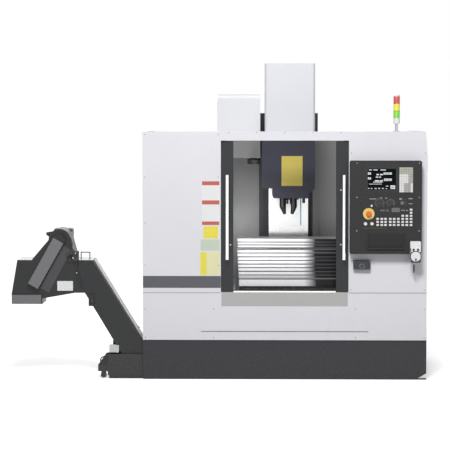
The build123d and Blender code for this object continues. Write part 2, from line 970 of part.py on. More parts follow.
def make_magazine_cover():
    """The tool magazine's cover, with the arm's cam box and the drum's stub shaft."""
    shell = block(magazine_left, magazine_right, magazine_front, magazine_back,
                  magazine_bottom, magazine_top)
    shell = fillet(shell.edges().filter_by(Axis.X).sort_by(Axis.Z)[-2:], magazine_fillet)
    wall = sheet
    hollow = block(magazine_left + wall, magazine_right - wall, magazine_front + wall,
                   magazine_back - wall, magazine_bottom + wall, magazine_top - wall)
    hollow = fillet(hollow.edges().filter_by(Axis.X).sort_by(Axis.Z)[-2:],
                    magazine_fillet - wall)
    shell -= hollow
    shell -= block(magazine_left + magazine_fillet, arm_x - cam_box_half - magazine_fillet,
                   magazine_front + magazine_fillet, magazine_back - magazine_fillet,
                   magazine_bottom - 1, magazine_bottom + wall + 1)
    shell += block(arm_x - cam_box_half, magazine_right - wall, spindle_y - cam_box_depth / 2,
                   spindle_y + cam_box_depth, magazine_bottom, cam_box_top)
    shell -= rod_z(arm_x, spindle_y, magazine_bottom - 1, arm_shaft_top + 1,
                   arm_shaft_r + drum_gap)
    return shell + rod_x(drum_x, magazine_right - wall, drum_y, drum_z, drum_shaft_r)


def make_magazine_drum():
    """The disc of the tool magazine with its ring of tool pots."""
    body = rod_x(drum_x, drum_x + drum_thickness, drum_y, drum_z, drum_r)
    body += rod_x(drum_x, drum_x + drum_hub_length, drum_y, drum_z, drum_hub_r)
    for n in range(pot_count):
        angle = 2 * pi * n / pot_count
        y = drum_y + pot_circle * cos(angle)
        z = drum_z + pot_circle * sin(angle)
        body += rod_x(drum_x - pot_length, drum_x, y, z, pot_r)
        body -= rod_x(drum_x - pot_length - 1, drum_x, y, z, pot_bore_r)
    return body - rod_x(drum_x - 1, drum_x + drum_hub_length + 1, drum_y, drum_z,
                        drum_shaft_r + drum_gap)


def make_change_arm():
    """The twin-jaw tool change arm, parked along Y, and its shaft."""
    top = magazine_bottom - arm_drop
    low = top - arm_hub_height
    body = rod_z(arm_x, spindle_y, low, top, arm_hub_r)
    body += rod_z(arm_x, spindle_y, low, arm_shaft_top - arm_drop, arm_shaft_r)
    middle = (low + top) / 2
    half = arm_thickness / 2
    body += block(arm_x - arm_width / 2, arm_x + arm_width / 2, spindle_y - arm_reach,
                  spindle_y + arm_reach, middle - half, middle + half)
    for side in (-1, 1):
        y = spindle_y + side * arm_reach
        body += rod_z(arm_x, y, middle - half, middle + half, arm_jaw_r + arm_jaw_wall)
        body -= rod_z(arm_x, y, middle - half - 1, middle + half + 1, arm_jaw_r)
        body -= block(arm_x, arm_x + side * arm_width * 2, y - arm_mouth_half,
                      y + arm_mouth_half, middle - half - 1, middle + half + 1)
    return body


def make_cabinet():
    """The electrical cabinet behind the column: open at the back, a plate inside."""
    body = block(cabinet_left, cabinet_right, column_back, cabinet_back,
                 cabinet_bottom, cabinet_top)
    wall = cabinet_wall
    body -= block(cabinet_left + wall, cabinet_right - wall, column_back + wall,
                  cabinet_back - wall, cabinet_bottom + wall, cabinet_top - wall)
    lip = cabinet_lip
    body -= block(cabinet_left + lip, cabinet_right - lip, cabinet_back - wall - 1,
                  cabinet_back + 1, cabinet_bottom + lip, cabinet_top - lip)
    margin = back_plate_margin
    body += block(cabinet_left + margin, cabinet_right - margin, column_back + wall,
                  column_back + wall + back_plate_depth, cabinet_bottom + margin,
                  cabinet_top - margin)
    for z in hinge_rows:
        pin = rod_z(hinge_x, hinge_y, z - hinge_length, z + hinge_length / 2, hinge_pin_r)
        knuckle = rod_z(hinge_x, hinge_y, z - hinge_length, z - hinge_length / 2, hinge_r)
        leaf = block(cabinet_right, hinge_x, cabinet_back - hinge_leaf, hinge_y,
                     z - hinge_length, z - hinge_length / 2)
        body += pin + knuckle + leaf
    return body


def make_cabinet_door():
    """The cabinet's back door: a folded tray with hinge knuckles and a latch handle."""
    y0 = cabinet_back + cabinet_door_gap
    y1 = y0 + cabinet_door_depth
    margin = cabinet_door_margin
    x0, x1 = cabinet_left + margin, cabinet_right - margin
    z0, z1 = cabinet_bottom + margin, cabinet_top - margin
    wall = cabinet_wall
    body = block(x0, x1, y0, y1, z0, z1)
    body -= block(x0 + wall, x1 - wall, y0 - 1, y1 - wall, z0 + wall, z1 - wall)
    for z in hinge_rows:
        low, high = z - hinge_length / 2 + hinge_end_gap, z + hinge_length / 2
        body += rod_z(hinge_x, hinge_y, low, high, hinge_r)
        body += block(x1 - wall, hinge_x, hinge_y, hinge_y + wall * 2, low, high)
        body -= rod_z(hinge_x, hinge_y, low - 1, high + 1, hinge_pin_r + hinge_gap)
    body += block(latch_x - latch_half_width, latch_x + latch_half_width, y1,
                  y1 + latch_depth, latch_z - latch_half_height, latch_z + latch_half_height)
    return body


def make_skirt():
    """The dark base skirt: front and sides, open on the left for the conveyor."""
    y0 = skirt_setback
    body = block(-half_width, half_width, y0, cabin_depth, skirt_bottom, skirt_top)
    body -= block(-half_width + sheet, half_width - sheet, y0 + sheet, cabin_depth + 1,
                  skirt_bottom - 1, skirt_top + 1)
    body -= block(-half_width - 1, -half_width + sheet + 1, y0 + sheet, skirt_opening_back,
                  skirt_bottom - 1, skirt_opening_top)
    corner = outline([(half_width - skirt_cut_x, skirt_bottom - 1),
                      (half_width + 1, skirt_bottom - 1),
                      (half_width + 1, skirt_bottom + skirt_cut_z)])
    return body - along_y(corner, y0 - 1, cabin_depth + 1)


def make_lower_panel():
    """The wide panel under the doors, notched for the sill, with its long groove."""
    face = outline([
        (-half_width, skirt_top), (half_width, skirt_top), (half_width, seam_z),
        (sill_half, seam_z), (sill_half, sill_bottom), (-sill_half, sill_bottom),
        (-sill_half, seam_z), (-half_width, seam_z)])
    body = front_tray(face, panel_flange)
    body -= block(-half_width - 1, half_width + 1, -1, seam_depth, seam_z - seam_groove,
                  seam_z + 1)
    half = groove_width / 2
    return body - block(-groove_half, groove_half, -1, groove_depth, groove_z - half,
                        groove_z + half)


def make_left_panel():
    face = rectangle(-half_width, -opening_half, seam_z, panel_top)
    return front_tray(face, panel_flange)


def make_right_panel():
    face = outline([
        (opening_half, seam_z), (half_width, seam_z), (half_width, panel_top - corner_cut_z),
        (half_width - corner_cut_x, panel_top), (opening_half, panel_top)])
    return front_tray(face, panel_flange)


def make_header():
    """The folded header over the doors, with the L-shaped rail that they hang from."""
    body = front_tray(rectangle(-opening_half, opening_half, header_bottom, panel_top),
                      panel_flange)
    rail_back = rail_strip_y + rail_strip_width
    body += block(-rail_half, rail_half, panel_flange, header_depth, panel_top - sheet,
                  panel_top)
    body += block(-rail_half, rail_half, rail_web_y, rail_web_y + rail_web, rail_ledge_z,
                  panel_top - sheet)
    body += block(-rail_half, rail_half, rail_web_y, rail_back, rail_ledge_z,
                  rail_ledge_z + rail_ledge)
    return body + block(-rail_half, rail_half, rail_strip_y, rail_back,
                        rail_ledge_z + rail_ledge, rail_top)


def make_sill():
    """The folded door sill: an outer face, a ledge with a splash lip, an inner face."""
    ledge = seam_z
    profile = outline([
        (0, sill_bottom), (sheet, sill_bottom), (sheet, ledge - sheet),
        (sill_depth - sheet, ledge - sheet), (sill_depth - sheet, ledge - sill_skirt),
        (sill_depth, ledge - sill_skirt), (sill_depth, ledge), (lip_y + sheet, ledge),
        (lip_y + sheet, ledge + lip_height), (lip_y, ledge + lip_height), (lip_y, ledge),
        (0, ledge)])
    return along_x(profile, -sill_half, sill_half)


def make_side_panel(side):
    """A side panel, folded in at its edges; the right one leans in at the top."""
    lean = corner_cut_x if side > 0 else 0
    x, inner = half_width, half_width - sheet
    knee = panel_top - corner_cut_z
    fold = half_width - side_flange
    points = [(x, skirt_top), (x, knee), (x - lean, panel_top), (fold - lean, panel_top),
              (fold - lean, panel_top - sheet), (inner - lean, panel_top - sheet),
              (inner, knee), (inner, skirt_top + sheet), (fold, skirt_top + sheet),
              (fold, skirt_top)]
    profile = outline([(side * u, v) for u, v in points])
    body = along_y(profile, panel_flange, cabin_depth)
    return body + block(side * fold, side * inner, cabin_depth - sheet, cabin_depth,
                        skirt_top, panel_top - corner_cut_z)


def panel_inner_x(side, z):
    """How far out a side panel's inner face is at a height."""
    knee = panel_top - corner_cut_z
    lean = corner_cut_x * (z - knee) / (panel_top - sheet - knee)
    return half_width - sheet - (lean if side > 0 and z > knee else 0)


def make_lining():
    """The cabin lining: side walls, sloping floors, back walls and the fixed hood."""
    wall = sheet
    inner = [(-lining_half, lining_top), (-lining_half, lining_side_floor),
             (axis_x - lining_hole_half, lining_floor + wall),
             (axis_x + lining_hole_half, lining_floor + wall),
             (lining_half, lining_side_floor), (lining_half, lining_top)]
    outer = [(lining_half + wall, lining_top),
             (lining_half + wall, lining_side_floor - wall),
             (axis_x + lining_hole_half, lining_floor),
             (axis_x - lining_hole_half, lining_floor),
             (-lining_half - wall, lining_side_floor - wall),
             (-lining_half - wall, lining_top)]
    body = along_y(outline(inner + outer), sill_depth, lining_back)
    body -= block(axis_x - lining_hole_half, axis_x + lining_hole_half,
                  lining_hole_front, lining_back + 1, lining_floor - 1,
                  lining_floor + 2 * wall)
    body -= block(axis_x - chip_slot_half, axis_x + chip_slot_half, chip_slot_front,
                  chip_slot_back, lining_floor - 1, lining_floor + 2 * wall)
    floor = lining_floor + wall
    for side in (-1, 1):
        near = axis_x + side * (column_half)
        far = side * (lining_half + wall)
        back = along_y(lining_end(near, far, floor), lining_back - wall, lining_back)
        front = along_y(lining_end(side * opening_half, far, floor), sill_depth,
                        sill_depth + wall)
        low = lining_top - wall
        lip = along_y(outline([(far, low), (side * panel_inner_x(side, low), low),
                               (side * panel_inner_x(side, lining_top), lining_top),
                               (far, lining_top)]), sill_depth, lining_back)
        body += back + front + lip
    return body + make_hood(hood_count + 1)


def lining_end(near, far, floor):
    """A wall across the cabin from near to far, its foot on the sloping floor."""
    hole = axis_x + (lining_hole_half if far > 0 else -lining_hole_half)
    foot = lining_side_floor
    points = [(near, lining_top), (near, floor)]
    if abs(near - axis_x) < lining_hole_half:
        points.append((hole, floor))
        near_foot = floor
    else:
        share = (near - hole) / (far - hole)
        near_foot = floor + share * (foot - floor)
        points[1] = (near, near_foot)
    return outline(points + [(far, foot), (far, lining_top)])


def make_door(side):
    """A sliding door, open: frame, window cut-out, hangers and rollers."""
    lead = side * door_open_x
    tail = side * (door_open_x + door_width)
    y1 = door_y + door_thickness
    body = block(lead, tail, door_y, y1, door_bottom, door_top)
    win0 = lead + side * stile_width
    win1 = tail - side * tail_stile_width
    body -= block(win0, win1, door_y - 1, y1 + 1, door_bottom + door_rail_width,
                  door_top - door_rail_width)
    body -= block(lead + side * sheet, tail - side * sheet, y1 - door_thickness + sheet,
                  y1 + 1, door_bottom + sheet, door_top - sheet)
    rim = sheet * 2
    frame = block(win0 - side * rim, win1 + side * rim, door_y, y1,
                  door_bottom + door_rail_width - rim, door_top - door_rail_width + rim)
    frame -= block(win0, win1, door_y - 1, y1 + 1, door_bottom + door_rail_width,
                   door_top - door_rail_width)
    body += frame
    roller_z = rail_top + roller_gap + roller_r
    plate_y = rail_strip_y + rail_strip_width + hanger_gap
    for x in (lead + side * hanger_inset, tail - side * hanger_inset):
        half = hanger_width / 2
        body += block(x - half, x + half, plate_y, plate_y + hanger_thickness,
                      door_top - sheet, roller_z + roller_r / 2)
        body += rod_y(x, rail_strip_y, plate_y, roller_z, roller_r)
    return body


def make_window(side):
    """A door's window pane, set into the frame from behind."""
    lead = side * (door_open_x + stile_width)
    tail = side * (door_open_x + door_width - tail_stile_width)
    middle = door_y + door_thickness / 2
    half = window_thickness / 2
    return block(lead, tail, middle - half, middle + half, door_bottom + door_rail_width,
                 door_top - door_rail_width)


def make_handle(side):
    """A door's bar handle on two standoffs."""
    inset = handle_inset_right if side > 0 else handle_inset_left
    x = side * (door_open_x + inset)
    half = handle_width / 2
    y0 = door_y - handle_stand - handle_depth
    bar = block(x - half, x + half, y0, y0 + handle_depth, handle_bottom, handle_top)
    bar = fillet(bar.edges().filter_by(Axis.Z), handle_depth / 2.5)
    rise = (handle_top - handle_bottom) / 5
    for z in (handle_bottom + rise, handle_top - rise):
        bar += rod_y(x, y0 + handle_depth / 2, door_y, z, standoff_r)
    return bar


def make_control_box():
    """The operator's box: rounded body with blind bores for knobs and buttons."""
    face = rectangle(box_left, box_right, box_bottom, box_top)
    face = fillet(face.vertices(), box_fillet)
    body = along_y(face, -box_depth, 0)
    front = -box_depth
    for x, z in control_stems():
        body -= rod_y(x, front - 1, front + stem_length + stop_travel + 1, z,
                      stem_r + stem_gap)
    gland_x = lead_x
    body += rod_z(gland_x, lead_back_y, box_bottom - gland_height, box_bottom, gland_r)
    return body


def control_stems():
    """Where the stems of knobs and buttons enter the box, as (x, z)."""
    return [(stop_x, stop_z), (start_x, push_z), (hold_x, push_z), (dial_1_x, dial_z),
            (dial_2_x, dial_z)]


def make_screen():
    """The screen's raised frame and glass."""
    face = rectangle(screen_left, screen_right, screen_bottom, screen_top)
    face = fillet(face.vertices(), screen_fillet)
    body = along_y(face, -box_depth - screen_depth, -box_depth)
    rim = screen_fillet
    return body - block(screen_left + rim, screen_right - rim, -box_depth - screen_depth - 1,
                        -box_depth - screen_depth + screen_recess, screen_bottom + rim,
                        screen_top - rim)


def make_keys():
    """The keypad, the machine keys, the dial plates and the rings, as fixed pieces."""
    front = -box_depth
    keys = []
    half, tall = key_width / 2, key_tall / 2
    places = [(x, z) for x in key_columns for z in key_rows] + list(extra_keys)
    for x, z in places:
        keys.append(block(x - half, x + half, front - key_height, front, z - tall,
                          z + tall))
    small = mdi_key / 2
    for row in range(mdi_rows):
        for column in range(mdi_columns):
            x = mdi_left + column * mdi_pitch
            z = mdi_top - row * mdi_pitch
            keys.append(block(x - small, x + small, front - key_height, front, z - small,
                              z + small))
    rings = [(dial_1_x, dial_z, dial_plate_r, dial_plate_height),
             (dial_2_x, dial_z, dial_plate_2_r, dial_plate_height),
             (stop_x, stop_z, stop_plate_r, stop_plate_height),
             (start_x, push_z, push_ring_r, dial_plate_height),
             (hold_x, push_z, push_ring_r, dial_plate_height)]
    for x, z, r, height in rings:
        ring = rod_y(x, front - height, front, z, r)
        bore = push_r + stem_gap if r == push_ring_r else stop_neck_r + stem_gap
        keys.append(ring - rod_y(x, front - height - 1, front + 1, z, bore))
    side = socket_side / 2
    keys.append(block(socket_x - side, socket_x + side, front - socket_height, front,
                      dial_z - side, dial_z + side))
    return Compound(keys)


def make_stop():
    """The emergency stop: a mushroom cap, a neck and a stem into the box."""
    front = -box_depth
    cap_y = front - stop_lift
    body = rod_y(stop_x, cap_y - stop_cap_height, cap_y, stop_z, stop_cap_r)
    body = fillet(body.edges().sort_by(Axis.Y)[0], stop_cap_height / 2)
    body += rod_y(stop_x, cap_y, front - stop_travel - stop_neck_gap, stop_z, stop_neck_r)
    return body + rod_y(stop_x, cap_y, front + stem_length, stop_z, stem_r)


def make_knob(x, r):
    """A ribbed override knob with a pointer ridge and its stem."""
    front = -box_depth - dial_plate_height
    knob = rod_y(x, front - knob_height, front - stem_gap, dial_z, r)
    for n in range(knob_flutes):
        angle = 2 * pi * n / knob_flutes
        knob -= rod_y(x + r * cos(angle), front - knob_height - 1,
                      front - knob_height / 2, dial_z + r * sin(angle), r / 7)
    ridge = r / 6
    knob += block(x - ridge, x + ridge, front - knob_height - ridge, front - knob_height,
                  dial_z, dial_z + r - 1)
    return knob + rod_y(x, front - stem_gap, -box_depth + stem_length, dial_z, stem_r)


def make_push(x):
    """A round push button and its stem."""
    front = -box_depth
    cap_back = front - push_travel - stem_gap
    cap = rod_y(x, cap_back - push_height, cap_back, push_z, push_r)
    cap = chamfer(cap.edges().sort_by(Axis.Y)[0], push_chamfer)
    return cap + rod_y(x, cap_back, front + stem_length, push_z, stem_r)


def make_port_box():
    """The service port box under the control box, with its lid."""
    face = fillet(rectangle(port_left, port_right, port_bottom, port_top).vertices(),
                  port_fillet)
    body = along_y(face, -port_depth + port_lid, 0)
    lid = chamfer(along_y(face, -port_depth, -port_depth + port_lid).faces().sort_by(
        Axis.Y)[0].edges(), port_chamfer)
    return body + lid


def make_pendant():
    """The hand pendant hung on the box: body, two selector knobs and a wheel boss."""
    x0, x1 = pendant_left, pendant_right
    face = fillet(rectangle(x0, x1, pendant_bottom, pendant_top).vertices(), pendant_fillet)
    body = along_y(face, -box_depth - pendant_depth, -box_depth)
    front = -box_depth - pendant_depth
    x = (x0 + x1) / 2
    for side in (-1, 1):
        knob_x = x + side * selector_spread
        body += rod_y(knob_x, front - selector_height, front, selector_z, selector_r)
    body -= rod_y(x, front - 1, front + stem_length, wheel_z, stem_r + stem_gap)
    return body + rod_z(lead_x, lead_front_y, pendant_bottom - gland_height,
                        pendant_bottom, gland_r)


def make_handwheel():
    """The pendant's pulse wheel with its crank knob."""
    x = (pendant_left + pendant_right) / 2
    front = -box_depth - pendant_depth
    face_y = front - wheel_gap - wheel_height
    body = rod_y(x, face_y, front - wheel_gap, wheel_z, wheel_r)
    body = chamfer(body.edges().sort_by(Axis.Y)[0], wheel_chamfer)
    body += rod_y(x, front - wheel_gap, front + stem_length - wheel_stem_gap, wheel_z,
                  stem_r)
    return body + rod_y(x, face_y - crank_height, face_y, wheel_z - crank_offset, crank_r)


def lead_points():
    """The route of the pendant's lead: down, round and up to the box."""
    start = (lead_front_y, pendant_bottom - gland_height)
    end = (lead_back_y, box_bottom - gland_height)
    return [(lead_x, y, z) for y, z in (start, *lead_bends, end)]


def corner_radii(points):
    """The largest tangent arcs that the runs of a route leave room for."""
    radii = []
    for before, corner, after in zip(points, points[1:], points[2:]):
        a, b = Vector(*corner) - Vector(*before), Vector(*after) - Vector(*corner)
        half_turn = radians(a.get_angle(b)) / 2
        radii.append(0.45 * min(a.length, b.length) / tan(half_turn))
    return radii


def make_lead():
    """The pendant's lead: one tube along straight runs and tangent arcs."""
    points = lead_points()
    radii = corner_radii(points)
    path = FilletPolyline(*points, radius=radii)
    start = Plane(origin=points[0], z_dir=Vector(*points[1]) - Vector(*points[0]))
    tube = sweep(start * Circle(lead_r), path=path)
    print("lead radii", [round(r) for r in radii], "length", round(path.length),
          "volume ratio", round(tube.volume / (pi * lead_r ** 2 * path.length), 4))
    return tube


def make_tower_pole():
    """The signal tower's flange, pole, base and cap rod."""
    body = rod_z(tower_x, tower_y, panel_top, panel_top + tower_flange, tower_flange_r)
    body += rod_z(tower_x, tower_y, panel_top, tower_pole_top, tower_pole_r)
    return body + rod_z(tower_x, tower_y, tower_pole_top, tower_base_top, tower_r)


def make_lenses():
    """The tower's green, amber and red lenses, the red one with its domed cap."""
    lenses = []
    z = tower_base_top
    for n in range(lens_count):
        high = z + lens_height
        lens = rod_z(tower_x, tower_y, z, high - lens_gap, tower_r)
        lens += rod_z(tower_x, tower_y, high - lens_gap, high, tower_r - lens_groove)
        if n == lens_count - 1:
            cap = rod_z(tower_x, tower_y, high, high + tower_cap, tower_r)
            lens += fillet(cap.edges().sort_by(Axis.Z)[-1], tower_cap_fillet)
        lenses.append(lens)
        z = high
    return Compound(lenses)


def conveyor_face():
    """The conveyor's side outline, from the discharge chute to the tank, in (X, Z)."""
    body = outline([
        (incline_foot_low_x, conveyor_low), (conveyor_right, conveyor_low),
        (conveyor_right, conveyor_high), (incline_foot_high_x, conveyor_high),
        (incline_top_x, hopper_z), (head_right_x, hopper_z), (head_x + head_r, head_z),
        (head_x - head_r, head_z), (head_left_x, hopper_z), (hopper_left_x, hopper_z),
        (chute_left_x, chute_top), (chute_left_x, chute_bottom),
        (chute_right_x, chute_bottom), (chute_right_x, chute_slope_z),
        (hopper_floor_x, hopper_floor_z), (incline_low_x, hopper_floor_z)])
    return body + Pos(head_x, head_z) * Circle(head_r)


def make_conveyor():
    """The conveyor's sheet-metal housing: hollow, open at the chute and the intake."""
    face = conveyor_face()
    wall = conveyor_wall
    body = along_y(face, conveyor_front, conveyor_back)
    body -= along_y(offset(face, -wall, kind=Kind.INTERSECTION), conveyor_front + wall,
                    conveyor_back - wall)
    body -= block(chute_left_x + wall, chute_right_x - wall, conveyor_front + wall,
                  conveyor_back - wall, chute_bottom - 1, chute_bottom + 2 * wall)
    body -= block(-intake_half, intake_half, conveyor_front + wall, conveyor_back - wall,
                  conveyor_high - 2 * wall, conveyor_high + 1)
    body += conveyor_strips()
    body += block(bracket_left, bracket_right, conveyor_front,
                  conveyor_front + bracket_depth,
                  bracket_bottom, bracket_top) - along_y(face, 0, conveyor_back)
    body += block(plate_left, plate_right, conveyor_front - plate_depth, conveyor_front,
                  plate_bottom, plate_top)
    for x in conveyor_feet:
        body += block(x - conveyor_foot_half, x + conveyor_foot_half, conveyor_front,
                      conveyor_back, tank_bottom + tank_wall, conveyor_low)
    body += make_hook()
    return body - rod_y(head_x, conveyor_front - 1, conveyor_back + 1, head_z,
                        conveyor_shaft_r + shaft_gap)


def conveyor_strips():
    """The folded flanges that stand up along the conveyor's top edges."""
    slope = Vector(incline_foot_high_x - incline_top_x, conveyor_high - hopper_z)
    normal = Vector(-slope.Y, slope.X).normalized() * strip_out
    foot = [(incline_foot_high_x, conveyor_high), (incline_top_x, hopper_z)]
    face = outline(foot + [(x + normal.X, z + normal.Y) for x, z in reversed(foot)])
    flat = rectangle(head_right_x, incline_top_x, hopper_z, hopper_z + strip_out)
    hopper = rectangle(hopper_left_x, head_left_x, hopper_z, hopper_z + strip_out)
    strips = []
    for shape in (face, flat, hopper):
        for y in (conveyor_front, conveyor_back - strip_width):
            strips.append(along_y(shape, y, y + strip_width))
    return strips


def make_hook():
    """The lifting hook of bent rod on the conveyor's top."""
    y = (conveyor_front + conveyor_back) / 2
    top = hopper_z + hook_height
    half = hook_width / 2
    posts = [rod_z(hook_x + side * half, y, hopper_z, top, hook_r) for side in (-1, 1)]
    return posts + [rod_x(hook_x - half - hook_r, hook_x + half + hook_r, y, top, hook_r)]


def belt_loop(half):
    """The belt's outline in (X, Z), at a distance from its middle line."""
    path = [(belt_right_x, belt_low_z), (belt_bend_x, belt_low_z), (belt_top_x, hopper_z),
            (head_x, head_z)]
    loop = Sketch()
    for a, b in zip(path, path[1:]):
        loop += trace(Line(a, b), line_width=2 * half)
    for x, z in path:
        loop += Pos(x, z) * Circle(half)
    return loop


def make_belt():
    """The hinged belt: a closed loop with cleats that carry the chips."""
    y0 = conveyor_front + conveyor_wall + belt_inset
    y1 = conveyor_back - conveyor_wall - belt_inset
    ring = belt_loop(belt_half) - belt_loop(belt_half - belt_thickness)
    body = along_y(ring, y0, y1)
    run = Vector(belt_top_x - belt_bend_x, hopper_z - belt_low_z)
    unit = run.normalized()
    normal = Vector(unit.Y, -unit.X)
    count = int((run.length - 2 * belt_half) / cleat_pitch)
    for n in range(count):
        along = belt_half + (n + 0.5) * cleat_pitch
        x = belt_bend_x + unit.X * along
        z = belt_low_z + unit.Y * along
        for side in (-1, 1):
            foot = Vector(x, z) + normal * side * (belt_half - 1)
            tip = Vector(x, z) + normal * side * (belt_half + cleat_height)
            half = unit * cleat_thickness / 2
            corners = [foot - half, foot + half, tip + half, tip - half]
            body += along_y(outline([(v.X, v.Y) for v in corners]), y0, y1)
    return body


def sprocket(x, y0, y1, z, r):
    """A toothed wheel along Y."""
    wheel = rod_y(x, y0, y1, z, r)
    for n in range(sprocket_teeth):
        angle = 2 * pi * n / sprocket_teeth
        wheel -= rod_y(x + r * cos(angle), y0 - 1, y1 + 1, z + r * sin(angle), r / 5)
    return wheel


def make_conveyor_shaft():
    """The head shaft: two belt sprockets inside, one chain sprocket in the guard."""
    y0 = conveyor_front - guard_depth + guard_wall + 2
    y1 = conveyor_back + gearbox_depth / 2
    body = rod_y(head_x, y0, y1, head_z, conveyor_shaft_r)
    inset = conveyor_wall + belt_inset * 3
    for y in (conveyor_front + inset, conveyor_back - inset - sprocket_width):
        body += sprocket(head_x, y, y + sprocket_width, head_z, sprocket_r)
    middle = conveyor_front - guard_depth / 2
    half = chain_sprocket_width / 2
    return body + sprocket(head_x, middle - half, middle + half, head_z, chain_sprocket_r)


def make_guard():
    """The chain guard on the conveyor's side: hollow, round above and square below."""
    top = Vector(head_x, head_z)
    low = Vector(guard_low_x, guard_low_z)
    inner_low = low + (top - low).normalized() * guard_wall

    def shape(r, end):
        face = trace(Line((top.X, top.Y), (end.X, end.Y)), line_width=2 * r)
        return face + Pos(top.X, top.Y) * Circle(r)
    y0 = conveyor_front - guard_depth
    body = along_y(shape(guard_half, low), y0, conveyor_front)
    return body - along_y(shape(guard_half - guard_wall, inner_low), y0 + guard_wall,
                          conveyor_front + 1)


def make_gearmotor():
    """The shaft-mounted gearbox behind the conveyor, with its finned motor below."""
    y0, y1 = conveyor_back, conveyor_back + gearbox_depth
    half = gearbox_half
    face = fillet(rectangle(head_x - half, head_x + half, head_z - half,
                            head_z + half).vertices(), half / 5)
    body = along_y(face, y0, y1)
    body -= rod_y(head_x, y0 - 1, y0 + gearbox_depth / 2 + 2, head_z,
                  conveyor_shaft_r + shaft_gap)
    top = head_z - half
    y = y0 + gearbox_depth / 2 + motor_r / 4
    body += rod_z(head_x, y, top - motor_length, top, motor_r)
    for n in range(fin_count):
        z = top - motor_length * (n + 1) / (fin_count + 1)
        body += rod_z(head_x, y, z - fin_width / 2, z + fin_width / 2, motor_r + fin_height)
    return body


def make_tank():
    """The coolant tank: open under the belt, lidded behind, on casters and skids."""
    wall = tank_wall
    body = block(tank_left, tank_right, tank_front, tank_back, tank_bottom, tank_top)
    body -= block(tank_left + wall, tank_right - wall, tank_front + wall,
                  tank_back - wall, tank_bottom + wall, tank_top + 1)
    body += block(tank_left + wall, tank_right - wall, tank_lid_y, tank_back - wall,
                  tank_top - wall, tank_top)
    filter_box = block(filter_left, filter_right, filter_front, filter_back, tank_top,
                       tank_top + filter_height)
    body += chamfer(filter_box.faces().sort_by(Axis.Z)[-1].edges(), wall * 2)
    body -= rod_z(pump_x, pump_y, tank_top - wall - 1, tank_top + 1, pump_stem_r + 1)
    for y in (tank_front + skid_width, tank_back - skid_width):
        body += block(skid_x - skid_width, skid_x + skid_width, y - skid_width / 2,
                      y + skid_width / 2, 0, tank_bottom)
    for side in (-1, 1):
        body += rod_y(axis_x + side * stop_bar_x, tank_back, bed_foot_front, stop_bar_z,
                      stop_bar_half)
    for y in caster_rows:
        body += caster_bracket(y)
    return body + make_grip()


def caster_bracket(y):
    """A caster's bracket on the tank's end: a plate, two cheeks and the pin."""
    half = caster_wheel_width / 2 + caster_side_gap + caster_cheek
    body = block(caster_left, tank_left, y - half, y + half, caster_fork_top, caster_top)
    for side in (-1, 1):
        outer = y + side * half
        inner = outer - side * caster_cheek
        body += block(caster_x - caster_cheek_half, caster_x + caster_cheek_half,
                      min(outer, inner), max(outer, inner),
                      caster_wheel_r - caster_pin_r * 2, caster_fork_top)
    return body + rod_y(caster_x, y - half, y + half, caster_wheel_r, caster_pin_r)


def make_grip():
    """The bent-rod grip that the tank is pulled out by."""
    y = caster_rows[0]
    x0, x1 = caster_x - grip_bend, caster_x + grip_bend
    arch = caster_top + grip_rise
    body = rod_z(x0, y, caster_top, arch, grip_r) + rod_z(x1, y, caster_top, arch, grip_r)
    bow = Pos(caster_x, y, arch) * Rot(90, 0, 0) * Torus(grip_bend, grip_r)
    return body + (bow & block(x0 - grip_bend, x1 + grip_bend, y - grip_bend,
                               y + grip_bend, arch, arch + 2 * grip_bend))


def make_caster_wheel(y):
    """A caster's wheel with rounded edges and its bore."""
    half = caster_wheel_width / 2
    wheel = rod_y(caster_x, y - half, y + half, caster_wheel_r, caster_wheel_r)
    wheel = chamfer(wheel.edges(), caster_chamfer)
    return wheel - rod_y(caster_x, y - half - 1, y + half + 1, caster_wheel_r,
                         caster_pin_r + caster_pin_gap)


def make_pump():
    """The coolant pump: flange and motor above the lid, pump stem in the tank."""
    top = tank_top + pump_height
    body = rod_z(pump_x, pump_y, tank_top, tank_top + pump_flange, pump_flange_r)
    body += rod_z(pump_x, pump_y, tank_top + pump_flange, top, pump_r)
    body = fillet(body.edges().sort_by(Axis.Z)[-1], pump_r / 4)
    return body + rod_z(pump_x, pump_y, tank_bottom + 3 * tank_wall, tank_top,
                        pump_stem_r)


